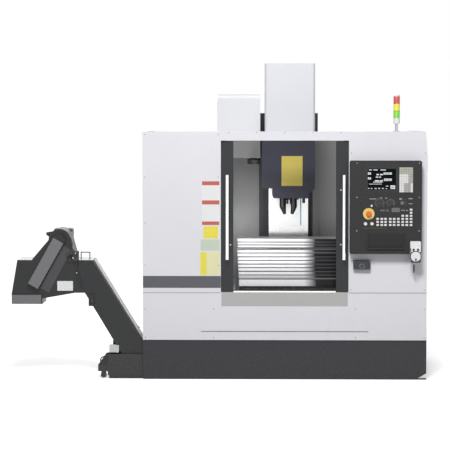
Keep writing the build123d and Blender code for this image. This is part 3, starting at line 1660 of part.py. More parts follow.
def make_parts():
    """Every sub-part by name, in the frame that it is drawn in."""
    parts = {
        "bed": make_bed(), "levelling_feet": make_feet(), "column": make_column(),
        "base_skirt": make_skirt(), "lower_front_panel": make_lower_panel(),
        "left_front_panel": make_left_panel(), "right_front_panel": make_right_panel(),
        "door_header": make_header(), "door_sill": make_sill(),
        "left_side_panel": make_side_panel(-1), "right_side_panel": make_side_panel(1),
        "cabin_lining": make_lining(), "magazine_cover": make_magazine_cover(),
        "magazine_drum": make_magazine_drum(), "change_arm": make_change_arm(),
        "electrical_cabinet": make_cabinet(), "electrical_door": make_cabinet_door(),
        "z_cover_lower": make_z_cover_fixed(), "z_cover_upper": make_z_cover_moving(),
        "control_box": make_control_box(), "control_screen": make_screen(),
        "control_keys": make_keys(), "emergency_stop": make_stop(),
        "feed_knob": make_knob(dial_1_x, knob_1_r),
        "speed_knob": make_knob(dial_2_x, knob_2_r),
        "start_button": make_push(start_x), "hold_button": make_push(hold_x),
        "service_port_box": make_port_box(), "pendant_body": make_pendant(),
        "handwheel": make_handwheel(), "pendant_lead": make_lead(),
        "signal_pole": make_tower_pole(), "signal_lenses": make_lenses(),
        "conveyor_housing": make_conveyor(), "conveyor_belt": make_belt(),
        "conveyor_shaft": make_conveyor_shaft(), "chain_guard": make_guard(),
        "conveyor_gearmotor": make_gearmotor(), "coolant_tank": make_tank(),
        "coolant_pump": make_pump(),
        "caster_wheel_front": make_caster_wheel(caster_rows[0]),
        "caster_wheel_rear": make_caster_wheel(caster_rows[1]),
        "saddle": make_saddle(), "table": make_table(), "x_screw": make_x_screw(),
        "y_screw": make_y_screw(), "z_screw": make_z_screw(), "head": make_head(),
        "head_cover": make_head_cover(), "spindle": make_spindle(),
        "coolant_nozzles": make_nozzles()}
    for name, side in (("left", -1), ("right", 1)):
        parts[name + "_door"] = make_door(side)
        parts[name + "_door_window"] = make_window(side)
        parts[name + "_door_handle"] = make_handle(side)
    for number in range(1, hood_count + 1):
        parts[f"cover_hood_{number}"] = make_hood(number)
    return parts


def whole_box(parts):
    """The lowest and highest corner of all the parts together."""
    boxes = [part.bounding_box() for part in parts.values()]
    low = [min(getattr(b.min, k) for b in boxes) for k in "XYZ"]
    high = [max(getattr(b.max, k) for b in boxes) for k in "XYZ"]
    return low, high


parts = make_parts()
low, high = whole_box(parts)
# The part's own origin is on the floor, under the middle of its box
origin = [(low[0] + high[0]) / 2, (low[1] + high[1]) / 2, low[2]]
os.makedirs("parts", exist_ok=True)
for name, part in parts.items():
    placed = Pos(-origin[0], -origin[1], -origin[2]) * part
    export_step(placed, f"parts/{name}.step")
print("origin", [round(v, 4) for v in origin], "size",
      [round(b - a, 2) for a, b in zip(low, high)])
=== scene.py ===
import json
import math
from functools import partialmethod

import bmesh
import bpy
from mathutils import Matrix, Vector

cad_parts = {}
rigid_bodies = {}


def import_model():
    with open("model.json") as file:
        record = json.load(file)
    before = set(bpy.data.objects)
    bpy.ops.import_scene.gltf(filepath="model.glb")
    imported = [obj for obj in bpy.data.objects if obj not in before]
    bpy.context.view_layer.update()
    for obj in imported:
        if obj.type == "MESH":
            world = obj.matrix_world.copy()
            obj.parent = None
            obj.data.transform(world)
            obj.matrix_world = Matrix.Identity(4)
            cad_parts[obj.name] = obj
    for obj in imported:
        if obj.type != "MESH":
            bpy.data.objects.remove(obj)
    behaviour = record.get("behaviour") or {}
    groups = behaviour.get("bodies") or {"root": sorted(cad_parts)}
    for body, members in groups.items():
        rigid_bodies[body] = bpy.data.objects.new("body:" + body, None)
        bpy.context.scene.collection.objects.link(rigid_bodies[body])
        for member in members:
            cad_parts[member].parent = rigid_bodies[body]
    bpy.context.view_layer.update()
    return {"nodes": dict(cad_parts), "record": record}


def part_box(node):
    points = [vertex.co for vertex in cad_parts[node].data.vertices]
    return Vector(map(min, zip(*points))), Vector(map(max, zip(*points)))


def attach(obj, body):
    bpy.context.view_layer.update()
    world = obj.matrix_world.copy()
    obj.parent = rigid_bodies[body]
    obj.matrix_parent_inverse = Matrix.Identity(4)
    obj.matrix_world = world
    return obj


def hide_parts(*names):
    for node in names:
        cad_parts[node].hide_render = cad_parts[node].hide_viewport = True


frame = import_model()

MM = 0.001
FULL_TURN = 2 * math.pi
sill_low, sill_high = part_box("door_sill")
# Machine millimetres: X = 0 in the middle of the doorway, Y = 0 at the front, Z = 0 the floor
origin_x = (sill_low[0] + sill_high[0]) / 2
origin_y = sill_low[1]
pendant_low, pendant_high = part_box("pendant_body")
pendant_x = ((pendant_low[0] + pendant_high[0]) / 2 - origin_x) / MM
spindle_x = 48
screw_lead = 0.010


def at(x, y, z):
    """A place in machine millimetres as a vector in metres."""
    return Vector((origin_x + x * MM, origin_y + y * MM, z * MM))


class Wire:
    """A node's output that can stand in Python sums."""

    def __init__(self, owner, socket):
        self.owner = owner
        self.socket = socket

    def sum(self, operation, other=0.0):
        return self.owner.node("ShaderNodeMath", {"operation": operation}, {0: self, 1: other})

    __add__ = partialmethod(sum, "ADD")
    __sub__ = partialmethod(sum, "SUBTRACT")
    __mul__ = partialmethod(sum, "MULTIPLY")
    __truediv__ = partialmethod(sum, "DIVIDE")
    __gt__ = partialmethod(sum, "GREATER_THAN")


class Tree:
    """A node tree, built node by node."""

    def node(self, kind, settings, inputs, out=0):
        """Adds a node: its settings first, then the values or links of its sockets."""
        made = self.tree.nodes.new(kind)
        for key, value in settings.items():
            setattr(made, key, value)
        for key, value in inputs.items():
            for one in value if isinstance(value, list) else [value]:
                self.feed(made.inputs[key], one)
        return Wire(self, made.outputs[out])

    def feed(self, socket, value):
        if isinstance(value, Wire):
            self.tree.links.new(value.socket, socket)
        elif socket.type == "RGBA":
            socket.default_value = (*value, 1.0)
        else:
            socket.default_value = value


class Finish(Tree):
    """The shader tree of a material, or of the surround."""

    def __init__(self, name, holder=None, shader="Principled BSDF"):
        self.holder = holder or bpy.data.materials.new(name)
        self.holder.use_nodes = True
        self.tree = self.holder.node_tree
        self.shader = self.tree.nodes[shader]

    def set(self, **values):
        """Sets or links the shader's sockets, with spaces written as underscores."""
        for key, value in values.items():
            self.feed(self.shader.inputs[key.replace("_", " ")], value)
        return self.holder

    def done(self, tone, rough, height, depth, **more):
        """Closes a material: its colour, its roughness and a bump of a depth in metres."""
        bump = self.node("ShaderNodeBump", {}, {
            "Height": height, "Distance": depth, "Strength": 1.0}, "Normal")
        return self.set(Base_Color=tone, Roughness=rough, Normal=bump, **more)

    def ray(self, kind):
        return self.node("ShaderNodeLightPath", {}, {}, f"Is {kind} Ray")

    def seen(self):
        """One for what the camera sees, directly, mirrored or through glass, else zero."""
        seen = self.ray("Camera")
        for kind in ("Glossy", "Transmission"):
            seen = seen.sum("MAXIMUM", self.ray(kind))
        return seen

    def place(self, stretch=None, turn=(0, 0, 0)):
        """Object coordinates, turned and stretched."""
        source = self.node("ShaderNodeTexCoord", {}, {}, "Object")
        if stretch is None:
            return source
        return self.node("ShaderNodeMapping", {"vector_type": "POINT"},
                         {"Vector": source, "Rotation": turn, "Scale": stretch})

    def noise(self, scale, detail=3.0, roughness=0.5, stretch=None):
        return self.node("ShaderNodeTexNoise", {}, {
            "Vector": self.place(stretch), "Scale": scale, "Detail": detail,
            "Roughness": roughness}, "Fac")

    def axis(self, name):
        return self.node("ShaderNodeSeparateXYZ", {}, {"Vector": self.place()}, name)

    def span(self, value, low, high, to_low=0.0, to_high=1.0):
        """Maps a range of a value to another, and stops at its ends."""
        return self.node("ShaderNodeMapRange", {"clamp": True}, {
            "Value": value, "From Min": low, "From Max": high, "To Min": to_low,
            "To Max": to_high})

    def mix(self, share, first, second):
        """Mixes two colours, each given as a wire, a colour or a plain grey."""
        first, second = ((one,) * 3 if isinstance(one, float) else one for one in (first, second))
        return self.node("ShaderNodeMix", {"data_type": "RGBA"}, {
            0: share, 6: first, 7: second}, 2)

    def handling_marks(self):
        """Tall, soft marks, where hands and cloths go."""
        return self.span(self.noise(9.0, 6.0, 0.7, (1.0, 1.0, 0.25)), 0.56, 0.74)


def shade(colour, factor):
    return tuple(min(channel * factor, 1.0) for channel in colour)


def paint(f, colour, rough, dirt=0.12, gloss=0.5, peel=0.00012, right_shade=0.0):
    """Sprayed paint: orange peel, clouding, handling marks, dust low down, and painted shade
    that darkens it towards the right."""
    cloud = f.noise(2.2, 5.0, 0.6)
    low_dust = f.span(f.axis("Z"), 0.0, 0.55, 1.0, 0.0) * f.span(f.noise(60.0), 0.35, 0.7)
    marks = f.handling_marks()
    tone = f.mix(cloud, shade(colour, 0.965), shade(colour, 1.03))
    tone = f.mix(low_dust * dirt, tone, (0.33, 0.30, 0.26))
    tone = f.mix(marks * dirt * 0.8, tone, shade(colour, 0.72))
    across = f.axis("X") - at(0, 0, 0).x
    # Painted shade: the colour darkens towards the right, standing in for less light reaching that
    # side
    tone = f.mix(f.span(across + cloud * 0.1, 0.0, 0.4) * right_shade, tone, shade(colour, 0.3))
    return f.done(tone, f.span(cloud + marks * 0.5, 0.2, 1.2, rough - 0.05, rough + 0.14),
                  f.noise(420.0, 2.0), peel, Specular_IOR_Level=gloss)


def paint_shaded_below(f, upper, lower, level):
    """Sprayed paint in one colour above a level, and a darker one below it as painted shade."""
    cloud = f.noise(2.2, 5.0, 0.6)
    # Painted shade: the darker colour below the level
    tone = f.mix(f.axis("Z") > level, lower, upper)
    tone = f.mix(cloud * 0.06, tone, shade(upper, 0.5))
    tone = f.mix(f.handling_marks() * 0.05, tone, shade(lower, 0.7))
    return f.done(tone, f.span(cloud, 0.2, 0.8, 0.38, 0.52), f.noise(420.0, 2.0), 0.00012)


def brushed(f, colour, grain, rough, stain=0.2, metallic=1.0):
    """Metal with fine grinding lines along one axis, and water stains."""
    lines = f.noise(1.0, 3.0, 0.6, tuple(6.0 if axis == grain else 900.0 for axis in "XYZ"))
    cloud = f.noise(5.0, 5.0, 0.6)
    spots = f.span(f.noise(38.0, 4.0, 0.7), 0.58, 0.75)
    tone = f.mix(lines, shade(colour, 0.88), shade(colour, 1.06))
    tone = f.mix(f.span(cloud, 0.45, 0.8) * stain, tone, shade(colour, 0.55))
    worn = lines + cloud * 0.6 + spots * 0.4
    return f.done(tone, f.span(worn, 0.3, 1.5, rough - 0.08, rough + 0.18), lines, 0.00004,
                  Metallic=metallic)


def moulded(f, colour, rough=0.5, grit=0.00005):
    """Moulded plastic: fine spark texture, slightly worn where hands reach."""
    grain = f.noise(900.0, 2.0)
    worn = f.span(f.noise(24.0, 4.0, 0.6), 0.5, 0.75)
    tone = f.mix(grain, shade(colour, 0.92), shade(colour, 1.08))
    return f.done(f.mix(worn * 0.25, tone, shade(colour, 1.25)),
                  f.span(worn, 0.0, 1.0, rough, rough - 0.12), grain, grit)


def plain_field(f, colour, rough=0.35, gloss=0.5):
    """A printed vinyl field: even colour with faint scuffs."""
    scuff = f.span(f.noise(70.0, 4.0, 0.6), 0.5, 0.75)
    return f.done(f.mix(scuff * 0.35, colour, shade(colour, 0.8)),
                  f.span(scuff, 0.0, 1.0, rough, rough + 0.2), scuff, 0.00002,
                  Specular_IOR_Level=gloss)


def rubber(f, colour):
    """Matt rubber with dust on it."""
    dust = f.span(f.noise(30.0, 4.0), 0.45, 0.7)
    return f.done(f.mix(dust * 0.4, colour, (0.16, 0.15, 0.14)),
                  f.span(dust, 0.0, 1.0, 0.62, 0.85), f.noise(500.0), 0.00008)


def cast_paint(f, colour):
    """Thick filler paint on a casting: soft waves, chips and oil stains."""
    wave = f.noise(14.0, 4.0, 0.6)
    oil = f.span(f.noise(5.0, 5.0, 0.65, (1, 1, 0.3)), 0.52, 0.72)
    tone = f.mix(wave, shade(colour, 0.9), shade(colour, 1.08))
    return f.done(f.mix(oil * 0.5, tone, shade(colour, 0.5)), f.span(oil, 0.0, 1.0, 0.55, 0.3),
                  wave * 0.7 + f.noise(160.0) * 0.3, 0.0006)


def threaded(f, axis_name):
    """A ground ball screw: a rounded groove that winds round its axis, with oil on it."""
    low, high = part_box(f.holder.name)
    first, second = (f.axis(other) - (low[k] + high[k]) / 2
                     for k, other in enumerate("XYZ") if other != axis_name)
    turn = first.sum("ARCTAN2", second) / FULL_TURN
    phase = (f.axis(axis_name) / screw_lead + turn).sum("FRACT") - 0.5
    groove = f.span(phase.sum("ABSOLUTE"), 0.1, 0.36)
    return f.done(f.mix(groove, (0.30, 0.28, 0.25), (0.72, 0.71, 0.69)),
                  f.span(f.noise(20.0, 4.0), 0.3, 0.7, 0.12, 0.3), groove, 0.0016, Metallic=1.0)


def clear_pane(f):
    """Laminated window glass with a faint grey tint and wiped smears."""
    smear = f.noise(7.0, 6.0, 0.7, (0.4, 1.0, 2.2))
    return f.done(f.mix(smear, (0.80, 0.84, 0.84), (0.86, 0.90, 0.89)),
                  f.span(smear, 0.45, 0.75, 0.03, 0.2), smear, 0.00005, IOR=1.5,
                  Transmission_Weight=0.9)


def lens_set(f):
    """Three coloured lens rings and their cap, told apart by their height."""
    ring = 0.057
    height = f.axis("Z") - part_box("signal_lenses")[0][2]
    ribs = f.node("ShaderNodeTexWave", {"wave_type": "BANDS", "bands_direction": "Z"},
                  {"Vector": f.place(), "Scale": 70.0}, "Fac")
    tone = (0.22, 0.72, 0.05)
    uppers = (0.92, 0.80, 0.06), (0.72, 0.055, 0.065), (0.78, 0.76, 0.76)
    for number, colour in enumerate(uppers, 1):
        tone = f.mix(height > number * ring, tone, colour)
    return f.done(f.mix(f.noise(90.0) * 0.08, tone, (0.9, 0.9, 0.88)),
                  f.span(ribs, 0.0, 1.0, 0.22, 0.3), ribs, 0.0004)


def way_cover(f):
    """Stainless way covers: brushed across, darker low down, and a painted reflection to the
    right.
    """
    lines = f.noise(1.0, 3.0, 0.6, (8.0, 700.0, 700.0))
    cloud = f.noise(6.0, 4.0, 0.5, (1.0, 3.0, 3.0))
    across = f.axis("X") - at(spindle_x, 0, 0).x
    tone = f.mix(lines, (0.78, 0.78, 0.79), (0.87, 0.87, 0.88))
    tone = f.mix(f.span(cloud, 0.5, 0.8) * 0.14, tone, (0.55, 0.55, 0.57))
    tone = f.mix(f.span(f.axis("Z"), 0.80, 0.93, 0.52, 0.0), tone, (0.34, 0.34, 0.35))
    # Painted reflection: the covers turn nearly black right of the spindle, standing in for the
    # mirrored dark door
    tone = f.mix(f.span(across + cloud * 0.03, 0.125, 0.22) * 0.98, tone, (0.006, 0.006, 0.007))
    return f.done(tone, f.span(lines + cloud, 0.4, 1.6, 0.26, 0.42), lines, 0.00001,
                  Metallic=0.85)


def bright_cover(f):
    """Smooth bright stainless plate of the vertical cover, with faint wiping marks."""
    lines = f.noise(1.0, 3.0, 0.6, (500.0, 500.0, 5.0))
    cloud = f.noise(5.0, 4.0, 0.5, (2.0, 2.0, 0.5))
    wiped = f.span(cloud, 0.5, 0.8) * 0.1
    return f.done(f.mix(wiped, f.mix(lines, 0.93, 0.97), (0.7, 0.7, 0.72)),
                  f.span(lines + cloud, 0.4, 1.6, 0.12, 0.26), lines, 0.00001, Metallic=0.9)


def milled(f):
    """A ground cast-iron table: crossed scraping marks and rust in the corners."""
    cross = f.noise(1.0, stretch=(500.0, 14.0, 500.0))
    flecks = f.node("ShaderNodeTexVoronoi", {"feature": "F1"},
                    {"Vector": f.place((1, 1, 1), (0, 0, 0.6)), "Scale": 90.0}, "Distance")
    rust = f.span(f.noise(12.0, 6.0, 0.7), 0.56, 0.76)
    tone = f.mix(cross, (0.36, 0.36, 0.37), (0.52, 0.52, 0.53))
    return f.done(f.mix(rust * 0.35, tone, (0.24, 0.17, 0.11)),
                  f.span(flecks, 0.0, 0.8, 0.28, 0.5), cross + flecks, 0.00008, Metallic=0.9)


def nozzle_set(f):
    """Black nozzles with one pale blue air tube among them, picked out by its place."""
    tube_x, tube_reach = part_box("coolant_nozzles")[1][0] - 36 * MM, 8 * MM
    across = f.axis("X") - tube_x
    tube = (across * across).sum("LESS_THAN", tube_reach ** 2)
    speck = f.noise(240.0, 2.0)
    return f.done(f.mix(tube, (0.012, 0.012, 0.014), (0.16, 0.42, 0.62)),
                  f.span(speck, 0.2, 0.8, 0.3, 0.42), speck, 0.00003)


finish_rows = (
    (paint, (
        ("panel_white", (0.74, 0.74, 0.78), 0.4), ("cover_white", (0.735, 0.74, 0.785), 0.4),
        ("cabinet_white", (0.70, 0.70, 0.73), 0.45),
        ("skirt_dark", (0.034, 0.034, 0.040), 0.45, 0.05, 0.3),
        ("sill_beige", (0.45, 0.45, 0.445), 0.42, 0.04),
        ("head_dark", (0.030, 0.031, 0.046), 0.4, 0.05, 0.3),
        # The lining's last value darkens its right side: painted shade
        ("lining_grey", (0.38, 0.38, 0.382), 0.32, 0.08, 0.5, 0.00012, 0.6),
        ("door_dark", (0.028, 0.029, 0.031), 0.42, 0.08, 0.3),
        ("box_dark", (0.022, 0.022, 0.022), 0.6, 0.05, 0.3, 0.0003),
        ("conveyor_dark", (0.025, 0.026, 0.027), 0.35, 0.05, 0.3),
        ("tank_dark", (0.037, 0.038, 0.040), 0.4, 0.08, 0.3),
        ("motor_grey", (0.10, 0.115, 0.13), 0.45, 0.3),
        ("column_dark", (0.042, 0.043, 0.050), 0.45, 0.08),
        ("guard_grey", (0.16, 0.16, 0.17), 0.4, 0.06),
        ("guard_dark", (0.044, 0.044, 0.048), 0.35, 0.06),
        ("edge_pale", (0.60, 0.61, 0.62), 0.4, 0.1),
        ("recess_dark", (0.012, 0.012, 0.012), 0.6, 0.03, 0.3),
        ("stripe_grey", (0.088, 0.089, 0.104), 0.4, 0.03))),
    # The magazine cover is mid grey below the panels' top: painted shade for its part inside the
    # cabin
    (paint_shaded_below, (("magazine_paint", (0.78, 0.785, 0.82), (0.17, 0.17, 0.168), 1.945),)),
    (cast_paint, (("casting_grey", (0.42, 0.44, 0.45)),)),
    (brushed, (
        ("polished_steel", (0.68, 0.68, 0.68), "X", 0.2),
        ("foot_steel", (0.38, 0.38, 0.39), "X", 0.4, 0.5),
        ("belt_steel", (0.36, 0.35, 0.34), "Y", 0.42, 0.7),
        ("chrome_bar", (0.93, 0.93, 0.94), "Z", 0.2, 0.02),
        ("pole_grey", (0.52, 0.49, 0.54), "Z", 0.35, 0.2, 0.8))),
    (moulded, (
        ("arm_dark", (0.035, 0.035, 0.038), 0.4), ("key_grey", (0.30, 0.30, 0.31)),
        ("screen_glass", (0.03, 0.032, 0.034), 0.2, 0.00001),
        ("stop_red", (0.72, 0.17, 0.03), 0.3, 0.00001),
        ("push_green", (0.80, 0.78, 0.62), 0.3, 0.00001),
        ("push_white", (0.78, 0.78, 0.77), 0.35, 0.00001),
        ("knob_black", (0.02, 0.02, 0.022), 0.42), ("port_black", (0.014, 0.018, 0.028), 0.4),
        ("pendant_white", (0.80, 0.80, 0.82), 0.42), ("pad_white", (0.78, 0.77, 0.76), 0.4),
        ("pad_green", (0.47, 0.47, 0.40), 0.4),
        ("pad_grey", (0.46, 0.44, 0.42), 0.4), ("ring_yellow", (0.82, 0.58, 0.16), 0.3),
        ("hem_grey", (0.045, 0.045, 0.05)))),
    (plain_field, (
        ("field_white", (0.80, 0.80, 0.81)), ("field_red", (0.52, 0.12, 0.09)),
        ("field_yellow", (0.80, 0.70, 0.08)), ("field_green", (0.56, 0.62, 0.52)),
        ("field_pale_yellow", (0.76, 0.74, 0.44)), ("field_amber", (0.52, 0.425, 0.085)),
        ("label_grey", (0.13, 0.125, 0.13)), ("display_dark", (0.003, 0.003, 0.004), 0.35, 0.05),
        ("display_light", (0.78, 0.82, 0.84), 0.15), ("display_grey", (0.30, 0.42, 0.45), 0.15),
        ("seam_grey", (0.47, 0.47, 0.48)), ("line_brown", (0.16, 0.11, 0.05)))),
    (rubber, (("lead_black", (0.018, 0.018, 0.018)), ("caster_rubber", (0.42, 0.42, 0.43)),
              ("rubber_strip", (0.012, 0.012, 0.012)))),
    (way_cover, (("stainless",),)), (bright_cover, (("bright_cover",),)),
    (milled, (("ground_iron",),)), (clear_pane, (("window_glass",),)),
    (lens_set, (("lens_set",),)), (nozzle_set, (("nozzle_set",),)),
    (threaded, (("x_screw", "X"), ("y_screw", "Y"), ("z_screw", "Z"))))
finishes = {name: make(Finish(name), *values) for make, rows in finish_rows
            for name, *values in rows}
# Nodes whose look differs from the one of their slot
own_looks = {"magazine_cover": "magazine_paint", "column": "column_dark",
             "z_cover_lower": "bright_cover", "z_cover_upper": "bright_cover",
             "change_arm": "arm_dark", "head_cover": "cover_white",
             "coolant_nozzles": "nozzle_set", "x_screw": "x_screw", "y_screw": "y_screw",
             "z_screw": "z_screw"}
slots = {row["node"]: row["material_slot"] for row in frame["record"]["subparts"]}
for node_name, node_object in frame["nodes"].items():
    node_object.data.materials.clear()
    node_object.data.materials.append(finishes[own_looks.get(node_name, slots[node_name])])


def link(name, data):
    """Puts data into the scene as a new object."""
    made = bpy.data.objects.new(name, data)
    bpy.context.scene.collection.objects.link(made)
    return made


def add_piece(name, mesh, body, slot_name, *replaced):
    """Links a finished mesh as a piece that rides on a body."""
    piece = link(name, mesh)
    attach(piece, body)
    if replaced:
        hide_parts(*replaced)


def round_places(a, b, radius, count, start=0.0):
    """Places round the middle (a, b), evenly spaced."""
    for n in range(count):
        angle = start + FULL_TURN * n / count
        yield a + radius * math.cos(angle), b + radius * math.sin(angle)


class Form:
    """A mesh in the making, in machine millimetres. Its finishes are told by number."""

    def __init__(self, name, *looks):
        self.name = name
        self.looks = looks
        self.bm = bmesh.new()

    def tint(self, verts, look):
        for face in {face for vert in verts for face in vert.link_faces}:
            face.material_index = look

    def face(self, verts, look):
        self.bm.faces.new(verts).material_index = look

    def box(self, x0, x1, y0, y1, z0, z1, bevel=0.0, look=0):
        """A box between two corners, its edges bevelled."""
        low = at(min(x0, x1), min(y0, y1), min(z0, z1))
        high = at(max(x0, x1), max(y0, y1), max(z0, z1))
        matrix = Matrix.Translation((low + high) / 2) @ Matrix.Diagonal((*(high - low), 1.0))
        verts = bmesh.ops.create_cube(self.bm, size=1.0, matrix=matrix)["verts"]
        self.tint(verts, look)
        if bevel:
            edges = {edge for vert in verts for edge in vert.link_edges}
            bmesh.ops.bevel(self.bm, geom=list(edges), offset=bevel * MM, segments=2,
                            profile=0.7, affect="EDGES", material=look)

    def boxes(self, *rows):
        for row in rows:
            self.box(*row)

    def disc(self, x, y0, y1, z, r, turns=32, look=0, top=None):
        """A round button along Y: radius r at y1, and top (or r) at y0."""
        middle = Matrix.Translation(at(x, (y0 + y1) / 2, z))
        self.tint(bmesh.ops.create_cone(
            self.bm, cap_ends=True, segments=turns, radius1=r * MM,
            radius2=(r if top is None else top) * MM, depth=abs(y1 - y0) * MM,
            matrix=middle @ Matrix.Rotation(FULL_TURN / 4, 4, "X"))["verts"], look)

    def plate(self, near, far, look=0):
        """A closed plate between two outlines of places."""
        near, far = ([self.bm.verts.new(at(*place)) for place in end] for end in (near, far))
        self.face(near, look)
        self.face(far[::-1], look)
        for n in range(len(near)):
            k = (n + 1) % len(near)
            self.face((near[k], near[n], far[n], far[k]), look)

    def prism(self, points, y0, y1, look=0):
        """A plate of an outline in (x, z), between two depths."""
        self.plate([(x, y0, z) for x, z in points], [(x, y1, z) for x, z in points], look)

    def slant(self, x0, z0, x1, z1, half, y0, y1, look=0):
        """A straight band between two ends, square at both."""
        length = math.hypot(x1 - x0, z1 - z0)
        nx, nz = -(z1 - z0) / length * half, (x1 - x0) / length * half
        self.prism([(x0 + nx, z0 + nz), (x1 + nx, z1 + nz), (x1 - nx, z1 - nz),
                    (x0 - nx, z0 - nz)], y0, y1, look)

    def bands(self, loops, look):
        """Faces between neighbouring loops of vertices."""
        for first, second in zip(loops, loops[1:]):
            for n in range(len(first)):
                k = (n + 1) % len(first)
                self.face((first[n], first[k], second[k], second[n]), look)

    def ring(self, x, z, inner, outer, y0, y1, look=0, turns=40):
        """A flat ring with a rounded front edge, facing -Y."""
        loops = [[self.bm.verts.new(at(px, y, pz)) for px, pz in round_places(x, z, r, turns)]
                 for r, y in ((inner, y1), (inner, y0 + 0.5), (inner + 1, y0), (outer - 1.4, y0),
                              (outer, y0 + 1.2), (outer, y1))]
        self.bands(loops + loops[:1], look)

    def tube(self, x, y, z0, z1, r, turns=40, look=0, bevel=1.0):
        """An upright closed cylinder with a small bevel at both ends."""
        loops = [[self.bm.verts.new(at(px, py, z)) for px, py in round_places(x, y, one, turns)]
                 for z, one in ((z0, r - bevel), (z0 + bevel, r), (z1 - bevel, r),
                                (z1, r - bevel))]
        self.bands(loops, look)
        self.face(loops[0][::-1], look)
        self.face(loops[-1], look)

    def louvres(self, x0, x1, y, z0, rows, pitch=22, out=9):
        """Pressed louvres on a face towards +Y, each with a dark strip below it as painted shade
        of its slot.
        """
        for z in range(z0, z0 + rows * pitch, pitch):
            near, far = ([(x, y, z + 14), (x, y + out * 0.6, z + 8), (x, y + out, z + 1),
                          (x, y + out, z), (x, y + out - 1.2, z), (x, y, z + 11)]
                         for x in (x0, x1))
            self.plate(near, far)
            # Painted shade: a dark strip where the louvre's slot would open into the dark inside
            self.box(x0 + 2, x1 - 2, y - 0.5, y + 0.4, z - 1, z + 10, 0, 1)

    def add(self, slot_name, body="machine", *replaced):
        """Closes the mesh, its faces outwards, and adds it as a piece."""
        bmesh.ops.recalc_face_normals(self.bm, faces=self.bm.faces)
        mesh = bpy.data.meshes.new(self.name)
        self.bm.to_mesh(mesh)
        self.bm.free()
        for look in self.looks:
            mesh.materials.append(finishes[look])
        add_piece(self.name, mesh, body, slot_name, *replaced)


class Recipe(Tree):
    """A Geometry Nodes tree with named inputs, run on points or paths."""

    kinds = {"Turn": "Vector", "Material": "Material"}

    def __init__(self, name, *keys):
        self.tree = bpy.data.node_groups.new(name, "GeometryNodeTree")
        face = self.tree.interface
        face.new_socket("Geometry", in_out="INPUT", socket_type="NodeSocketGeometry")
        self.ids = {}
        for key in keys:
            kind = "NodeSocket" + self.kinds.get(key, "Float")
            socket = face.new_socket(key, in_out="INPUT", socket_type=kind)
            self.ids[key] = socket.identifier
        face.new_socket("Geometry", in_out="OUTPUT", socket_type="NodeSocketGeometry")
        entry = self.tree.nodes.new("NodeGroupInput")
        self.given = {key: Wire(self, entry.outputs[key]) for key in ("Geometry", *keys)}
        self.exit = self.tree.nodes.new("NodeGroupOutput")

    def moved(self, geometry, **change):
        return self.node("GeometryNodeTransform", {}, {"Geometry": geometry, **change})

    def solid(self, kind, vertices, **sizes):
        """A cylinder or a cone, with spaces in its sizes written as underscores."""
        return self.node("GeometryNodeMesh" + kind, {}, {
            "Vertices": vertices, **{key.replace("_", " "): sizes[key] for key in sizes}}, "Mesh")

    def on_points(self, shape):
        """Puts a shape on each given point, and closes the tree."""
        return self.end(self.node("GeometryNodeInstanceOnPoints", {}, {
            "Points": self.given["Geometry"], "Instance": shape,
            "Rotation": self.given["Turn"]}))

    def end(self, geometry):
        """Realizes the instances, gives them the material and closes the tree."""
        real = self.node("GeometryNodeRealizeInstances", {}, {"Geometry": geometry})
        done = self.node("GeometryNodeSetMaterial", {}, {
            "Geometry": real, "Material": self.given["Material"]})
        self.feed(self.exit.inputs[0], done)
        return self

    def run(self, name, source, look, **values):
        """Runs the tree on a mesh or curve and returns the result as a mesh."""
        carrier = link(name + "_source", source)
        modifier = carrier.modifiers.new("recipe", "NODES")
        modifier.node_group = self.tree
        for key, value in values.items():
            modifier[self.ids[key]] = value
        modifier[self.ids["Material"]] = finishes[look]
        graph = bpy.context.evaluated_depsgraph_get()
        mesh = bpy.data.meshes.new_from_object(carrier.evaluated_get(graph))
        mesh.name = name
        carrier.modifiers.remove(modifier)
        bpy.data.objects.remove(carrier)
        return mesh


def points_mesh(places):
    mesh = bpy.data.meshes.new("places")
    mesh.from_pydata([at(*place) for place in places], [], [])
    return mesh


def smooth_curve(name, places, resolution):
    """A smooth curve along places, for conduits and the pendant's lead."""
    curve = bpy.data.curves.new(name, "CURVE")
    curve.dimensions = "3D"
    curve.resolution_u = resolution
    spline = curve.splines.new("NURBS")
    spline.points.add(len(places) - 1)
    for point, place in zip(spline.points, places):
        point.co = (*at(*place), 1.0)
    spline.order_u = 3
    spline.use_endpoint_u = True
    return curve


def screw_recipe():
    """Button-head screws with a socket, one on each point."""
    r = Recipe("screw_heads", "Radius", "Height", "Turn", "Material")
    radius, height = r.given["Radius"], r.given["Height"]
    rim = height * 0.45
    rise = r.node("ShaderNodeCombineXYZ", {}, {"Z": rim * 0.5})
    foot = r.solid("Cylinder", 20, Radius=radius, Depth=rim)
    dome = r.solid("Cone", 20, Radius_Top=radius * 0.72, Radius_Bottom=radius, Depth=rim)
    nut = r.solid("Cylinder", 6, Radius=radius * 0.42, Depth=height)
    return r.on_points(r.node("GeometryNodeJoinGeometry", {}, {
        "Geometry": [foot, r.moved(dome, Translation=rise), r.moved(nut, Translation=rise)]}))


def key_recipe():
    """Tapered keys, one on each point, with the key's sizes as inputs."""
    r = Recipe("key_caps", "Width", "Tall", "Depth", "Turn", "Material")
    width = r.given["Width"]
    cap = r.solid("Cone", 4, Radius_Top=width * 0.60, Radius_Bottom=width * 0.7071,
                  Depth=r.given["Depth"])
    cap = r.moved(cap, Rotation=(0.0, 0.0, FULL_TURN / 8))
    shape = r.node("ShaderNodeCombineXYZ", {}, {
        "X": 1.0, "Y": r.given["Tall"] / width, "Z": 1.0})
    return r.on_points(r.moved(cap, Scale=shape))


